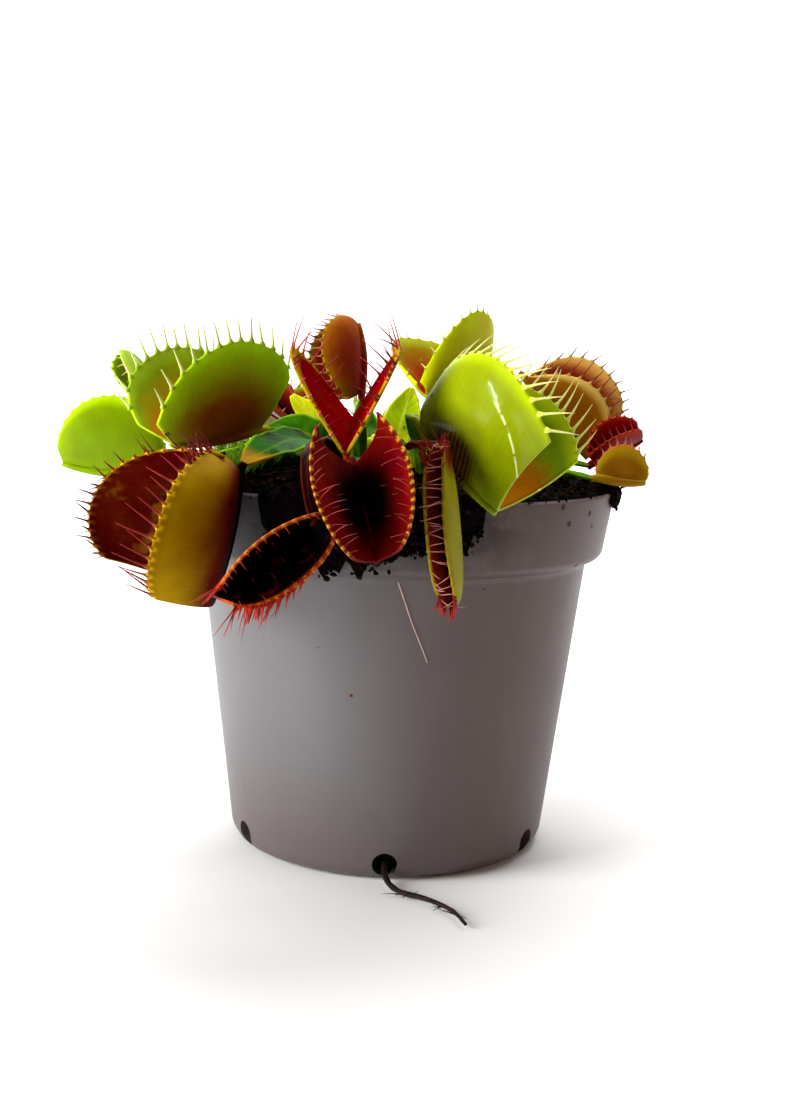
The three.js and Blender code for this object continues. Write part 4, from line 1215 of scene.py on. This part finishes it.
# Sheet of peat from the pot's top over the rim and down the band
def spillBody(spill):
    bm = bmesh.new()
    columns = round((spill["end"] - spill["start"]) * 2.2)
    bmesh.ops.create_grid(bm, x_segments=columns, y_segments=30, size=0.5)
    rim, top = pot["rimRadius"], pot["height"]
    for vert in bm.verts:
        u, w = vert.co.x + 0.5, vert.co.y + 0.5
        full = spillFullness(u)
        rough = noise.noise(Vector((u * 9, spill["start"], 0)))
        thick = spill["thickness"] * full * (1 + 0.5 * rough)
        low = top - spill["drop"] * full * (0.86 + 0.3 * noise.noise(Vector((u * 14, 0, spill["start"]))))
        middle = (top + low) / 2
        profile = [(rim - 5, peat["top"] - 1.2), (rim - 1.4, peat["top"] - 1.0), (rim - 1.2, top + 0.1),
                   (rim + 0.1, top + 0.1), (outsideAt(low) + 0.1, low),
                   (outsideAt(low) + 0.5 * thick, low + 0.2), (outsideAt(middle) + thick, middle),
                   (rim + 0.2 + 0.9 * thick, top - 0.4),
                   (rim + 0.1, top + 0.2 + 0.9 * thick), (rim - 2, peat["top"] + 0.5 + 0.8 * thick),
                   (rim - 5, peat["top"] + 0.2), (rim - 5, peat["top"] - 1.2)]
        step = min(w * (len(profile) - 1), len(profile) - 1.0001)
        first, second = profile[int(step)], profile[int(step) + 1]
        share = step - int(step)
        r, z = (a + (b - a) * share for a, b in zip(first, second))
        turn = math.radians(spill["start"] + (spill["end"] - spill["start"]) * u)
        if 0.42 < w < 0.95:  # the outer face is clumpy
            push = clumps(around(turn, r, z) * 1.4)
            r, z = r + 0.5 * push * full, z + (0.5 * push if w > 0.6 else 0)
        vert.co = around(turn, r, z)
    bmesh.ops.remove_doubles(bm, verts=bm.verts, dist=1e-4)
    bmesh.ops.holes_fill(bm, edges=[e for e in bm.edges if e.is_boundary], sides=0)
    bmesh.ops.recalc_face_normals(bm, faces=bm.faces)
    smoothFaces(bm)
    return meshFrom(bm, "spill")


def spillSpots(spill, picker):
    spots = []
    for _ in range(spill["crumbs"]):
        u = picker.uniform(0.02, 0.98)
        full = spillFullness(u)
        if picker.random() < 0.35:  # on top, over the rim
            r, z = pot["rimRadius"] - 4 * picker.random(), pot["height"] + 0.6 + spill["thickness"] * full
        else:
            z = pot["height"] - spill["drop"] * full * picker.random() ** 1.2
            r = outsideAt(z) + 0.7 * spill["thickness"] * full + 0.15
        spots.append(around(math.radians(spill["start"] + (spill["end"] - spill["start"]) * u), r, z))
    return spots


# A random spot on the peat, as far out as the reach and lifted a little
def peatSpot(picker, reach, lift):
    turn = picker.uniform(0, 2 * math.pi)
    spot = around(turn, reach * math.sqrt(picker.random()))
    return spot + Vector((0, 0, peatHeight(spot.x, spot.y) + lift))


def makePeat():
    picker = random.Random(11)
    inside = outline(peat["inset"], pot["floor"] + 0.2, peat["top"])[:-1]
    reach = peat["reach"]
    wall = [(0, inside[0][1]), *inside, (reach + 0.2, peat["top"] - 0.9)]
    topRings = [(reach * (1 - k / peat["rings"]), peat["top"]) for k in range(peat["rings"] + 1)]
    bm = spun(wall + topRings, peat["steps"])
    for vert in bm.verts:
        if vert.co.z > peat["top"] - 0.1:
            vert.co.z = peatHeight(vert.co.x, vert.co.y)
    smoothFaces(bm)
    for spill in spills.values():
        bm.from_mesh(spillBody(spill))
    shapes = [makeCrumb(picker) for _ in range(peat["shapes"])]
    crumbs, rimCrumbs, fibres = peat["crumbs"], peat["rimCrumbs"], peat["fibres"]
    spots = [peatSpot(picker, reach - 0.5, 0.15) for _ in range(crumbs["count"])]
    scatter(bm, shapes, picker, spots, crumbs["sizes"], crumbs["brown"])
    for spill in spills.values():
        scatter(bm, shapes, picker, spillSpots(spill, picker), **peat["spillCrumbs"])
    spots = [around(picker.uniform(0, 2 * math.pi), pot["rimRadius"] - picker.uniform(0, 1.4),
                    pot["height"] + 0.12) for _ in range(rimCrumbs["count"])]
    scatter(bm, shapes, picker, spots, rimCrumbs["sizes"], rimCrumbs["brown"])
    for _ in range(fibres["count"]):
        root = peatSpot(picker, reach - 2, 0.3)
        direction = around(picker.uniform(0, 2 * math.pi), 1, picker.uniform(0.0, 0.35))
        addSpike(bm, hairSpike, root, direction, down, picker.uniform(*fibres["lengths"]), fibres["radius"],
                 picker.uniform(0, fibres["bend"]), material=1)
    finishPiece("peat", bm, [peatDark, peatBrown], ["soil"])


# Moss: a brown clump at the rim, and patches of tall shoots on the peat, each with its middle, spread, height
# and number of shoots
mossClump = dict(at=(38.6, -6.5, 67.4), spread=(2.2, 3.4, 1.6), bits=120, sizes=(0.3, 0.8), brown=0.35)
mossShoots = dict(patches=((-29, 14, 6, 9, 460), (-26, 3, 4, 7, 260), (-20, 22, 5, 6, 260),
                           (-29, -8, 3.5, 4, 160), (18, 22, 4, 3.5, 150)),
                  radius=0.2, bend=0.25, lean=0.5, stray=0.25,
                  look=dict(root="142c04", tip="5c8008", changeAt=0.9))


def makeMossClump():
    picker = random.Random(5)
    shapes = [makeCrumb(picker) for _ in range(4)]
    bm = bmesh.new()
    spots = [Vector(mossClump["at"]) + Vector([picker.gauss(0, 0.45) * s for s in mossClump["spread"]])
             for _ in range(mossClump["bits"])]
    scatter(bm, shapes, picker, spots, mossClump["sizes"], mossClump["brown"])
    finishPiece("moss_clump", bm, [peatRed, peatBrown])


def makeMossShoots():
    picker = random.Random(21)
    bm = bmesh.new()
    stray = mossShoots["stray"]
    for x, y, spread, tall, count in mossShoots["patches"]:
        for _ in range(count):
            turn, out = picker.uniform(0, 2 * math.pi), math.sqrt(picker.random())
            root = Vector((x, y, 0)) + around(turn, spread * out)
            root.z = peatHeight(root.x, root.y) - 0.1
            lean = around(turn, mossShoots["lean"] * out, 1.0)
            lean += Vector((picker.uniform(-stray, stray), picker.uniform(-stray, stray), 0))
            length = tall * (1 - 0.45 * out ** 2) * picker.uniform(0.6, 1.0)
            addSpike(bm, hairSpike, root, lean, down, length, mossShoots["radius"],
                     picker.uniform(0, mossShoots["bend"]))
    finishPiece("moss_shoots", bm, [toothMaterial("mossShoots", **mossShoots["look"])])


makePeat()
makeMossClump()
makeMossShoots()
print("peat and moss made")


# Crown: the pale scaly base that all the leaves leave, with young curled leaves
crown = dict(centre=(-3, 1, 67), radius=2.6, stretch=1.3, scales=11, buds=4, budHeights=(3.5, 6.0),
             budStations=(0, 0.2, 0.4, 0.55, 0.65, 0.78, 0.9, 1.0),
             budRadii=(0.7, 0.55, 0.45, 0.4, 0.7, 0.95, 0.8, 0.25))


def crownMaterial():
    material, tree, shader = startMaterial("crownScales", 0.5)
    colour = mixTones(tree, cloudy(tree, 260.0), "7f8a3a", "c2c684")
    feed(tree, shader["Base Color"], mottled(tree, colour, 500.0, 0.5))
    addBump(tree, shader, grain(tree, 1200.0), 0.5, 0.2)
    return material


def makeCrown():
    picker = random.Random(3)
    bm = bmesh.new()
    bmesh.ops.create_uvsphere(bm, u_segments=44, v_segments=22, radius=crown["radius"])
    for vert in bm.verts:
        turn = math.atan2(vert.co.y, vert.co.x)
        ridge = abs(math.sin(turn * crown["scales"] / 2 + vert.co.z * 0.8))
        width = (0.9 + 0.14 * ridge) * (1 - vert.co.z / crown["radius"] * 0.2)
        vert.co = Vector((vert.co.x * width, vert.co.y * width, vert.co.z * crown["stretch"]))
        vert.co += Vector(crown["centre"])
    smoothFaces(bm)
    for k in range(crown["buds"]):  # young leaves, each a stalk with a closed bud
        turn = 2 * math.pi * (k + 0.35) / crown["buds"]
        root = Vector(crown["centre"]) + around(turn, 1.4, 2.4)
        tall = picker.uniform(*crown["budHeights"])
        points = [root + around(turn, 1.3 * t ** 2, tall * t) for t in crown["budStations"]]
        addTube(bm, points, crown["budRadii"], 12, material=1)
    finishPiece("crown_scales", bm, [crownMaterial(), leafMaterials["lime"]], ["crown"])


# Root out of a drain hole, lying on the surface that the pot stands on
drainRoot = dict(radius=0.55, path=((0.4, -21, 3.8), (0, -27, 2.9), (0.3, -31, 1.4), (2.5, -35, 0.8),
                                    (7, -38, 0.8), (11, -42.5, 0.8), (13, -48, 0.8)),
                 hairs=dict(count=14, first=20, lengths=(1.2, 4.0), radius=0.14, bend=0.3))


def rootMaterial():
    material, tree, shader = startMaterial("rootBark", 0.7, 0.4)
    colour = mixTones(tree, ease(tree, cloudy(tree, 700.0, 4.0), 0.4, 0.7), "0c0605", "2c1710")
    feed(tree, shader["Base Color"], colour)
    addBump(tree, shader, cloudy(tree, 1800.0, 4.0), 0.7, 0.2)
    return material


# Smooth curve through the points, each stretch in so many parts
def smoothPath(points, parts):
    curve = []
    ends = [points[0] * 2 - points[1], *points, points[-1] * 2 - points[-2]]
    for i in range(1, len(ends) - 2):
        a, b, c, d = ends[i - 1:i + 3]
        for t in (k / parts for k in range(parts)):
            curve.append(0.5 * ((2 * b) + (c - a) * t + (2 * a - 5 * b + 4 * c - d) * t ** 2
                                + (3 * b - a - 3 * c + d) * t ** 3))
    return [*curve, points[-1]]


def makeRoot():
    picker = random.Random(8)
    hairs = drainRoot["hairs"]
    points = smoothPath([Vector(p) for p in drainRoot["path"]], 7)
    last = len(points) - 1
    radii = [drainRoot["radius"] * (1.05 - 0.55 * (i / last) ** 1.5) * (1 + 0.18 * noise.noise(p * 0.9))
             for i, p in enumerate(points)]
    bm = bmesh.new()
    addTube(bm, points, radii, 12)
    for _ in range(hairs["count"]):
        i = picker.randrange(hairs["first"], last - 1)
        direction = around(picker.uniform(0, 2 * math.pi), 1)
        start = Vector((points[i].x, points[i].y, 0.5))
        addSpike(bm, hairSpike, start, direction, Vector((-direction.y, direction.x, 0)),
                 picker.uniform(*hairs["lengths"]), hairs["radius"],
                 picker.uniform(-hairs["bend"], hairs["bend"]))
    finishPiece("drain_root", bm, [rootMaterial()], ["root"])


makeCrown()
makeRoot()
print("crown and root made")


# Loose thread and flecks that cling to the pot's wall, at a distance sideways and a height
debris = dict(thread=((0.8, 53), (2.1, 49.4), (3.3, 46), (4.8, 42.4), (6, 39.3)), threadRadius=0.13,
              flecks=((-6.4, 33.2, 0.55), (-12, 41, 0.22), (9, 49, 0.3), (15, 51.5, 0.25)))


def onWall(x, z, lift):
    r = wallRadius(z) + lift
    return Vector((x, -math.sqrt(r * r - x * x), z))


def makeDebris():
    material, tree, shader = startMaterial("dryThread", 0.6)
    feed(tree, shader["Base Color"], mixTones(tree, cloudy(tree, 900.0), "b08a84", "d8c0b4"))
    bm = bmesh.new()
    points = smoothPath([onWall(x, z, 0.16) for x, z in debris["thread"]], 4)
    addTube(bm, points, [debris["threadRadius"] * (1 - 0.5 * i / len(points)) for i in range(len(points))], 6)
    shapes = [makeCrumb(random.Random(2))]
    for x, z, size in debris["flecks"]:
        scatter(bm, shapes, random.Random(4), [onWall(x, z, 0.1)], (size, size), 1.0)
    finishPiece("dry_debris", bm, [material, soilMaterial("fleck", "6a3010", "8a4418", 0.1)])


makeDebris()
print("debris made")


# Pale floor that curves up into a backdrop, in metres
floorLook = dict(half=2.0, back=1.1, tall=2.2, bend=0.7, below=0.0001, colour=(0.8, 0.8, 0.8, 1.0))


def makeFloor():
    bm = bmesh.new()
    bmesh.ops.create_grid(bm, x_segments=1, y_segments=1, size=floorLook["half"])
    back = [e for e in bm.edges if all(v.co.y > 0 for v in e.verts)]
    bmesh.ops.translate(bm, verts=back[0].verts, vec=(0, floorLook["back"] - floorLook["half"], 0))
    raised = bmesh.ops.extrude_edge_only(bm, edges=back)["geom"]
    bmesh.ops.translate(bm, verts=[g for g in raised if isinstance(g, bmesh.types.BMVert)],
                        vec=(0, 0, floorLook["tall"]))
    bmesh.ops.bevel(bm, geom=back, offset=floorLook["bend"], affect="EDGES", segments=24, profile=0.5,
                    material=-1)
    bmesh.ops.recalc_face_normals(bm, faces=bm.faces)
    smoothFaces(bm)
    bmesh.ops.translate(bm, verts=bm.verts, vec=(0, 0, -floorLook["below"]))
    material, _, shader = startMaterial("paleFloor", 0.8, 0.2)
    shader["Base Color"].default_value = floorLook["colour"]
    linked("floor", meshFrom(bm, "floor", [material]))


makeFloor()
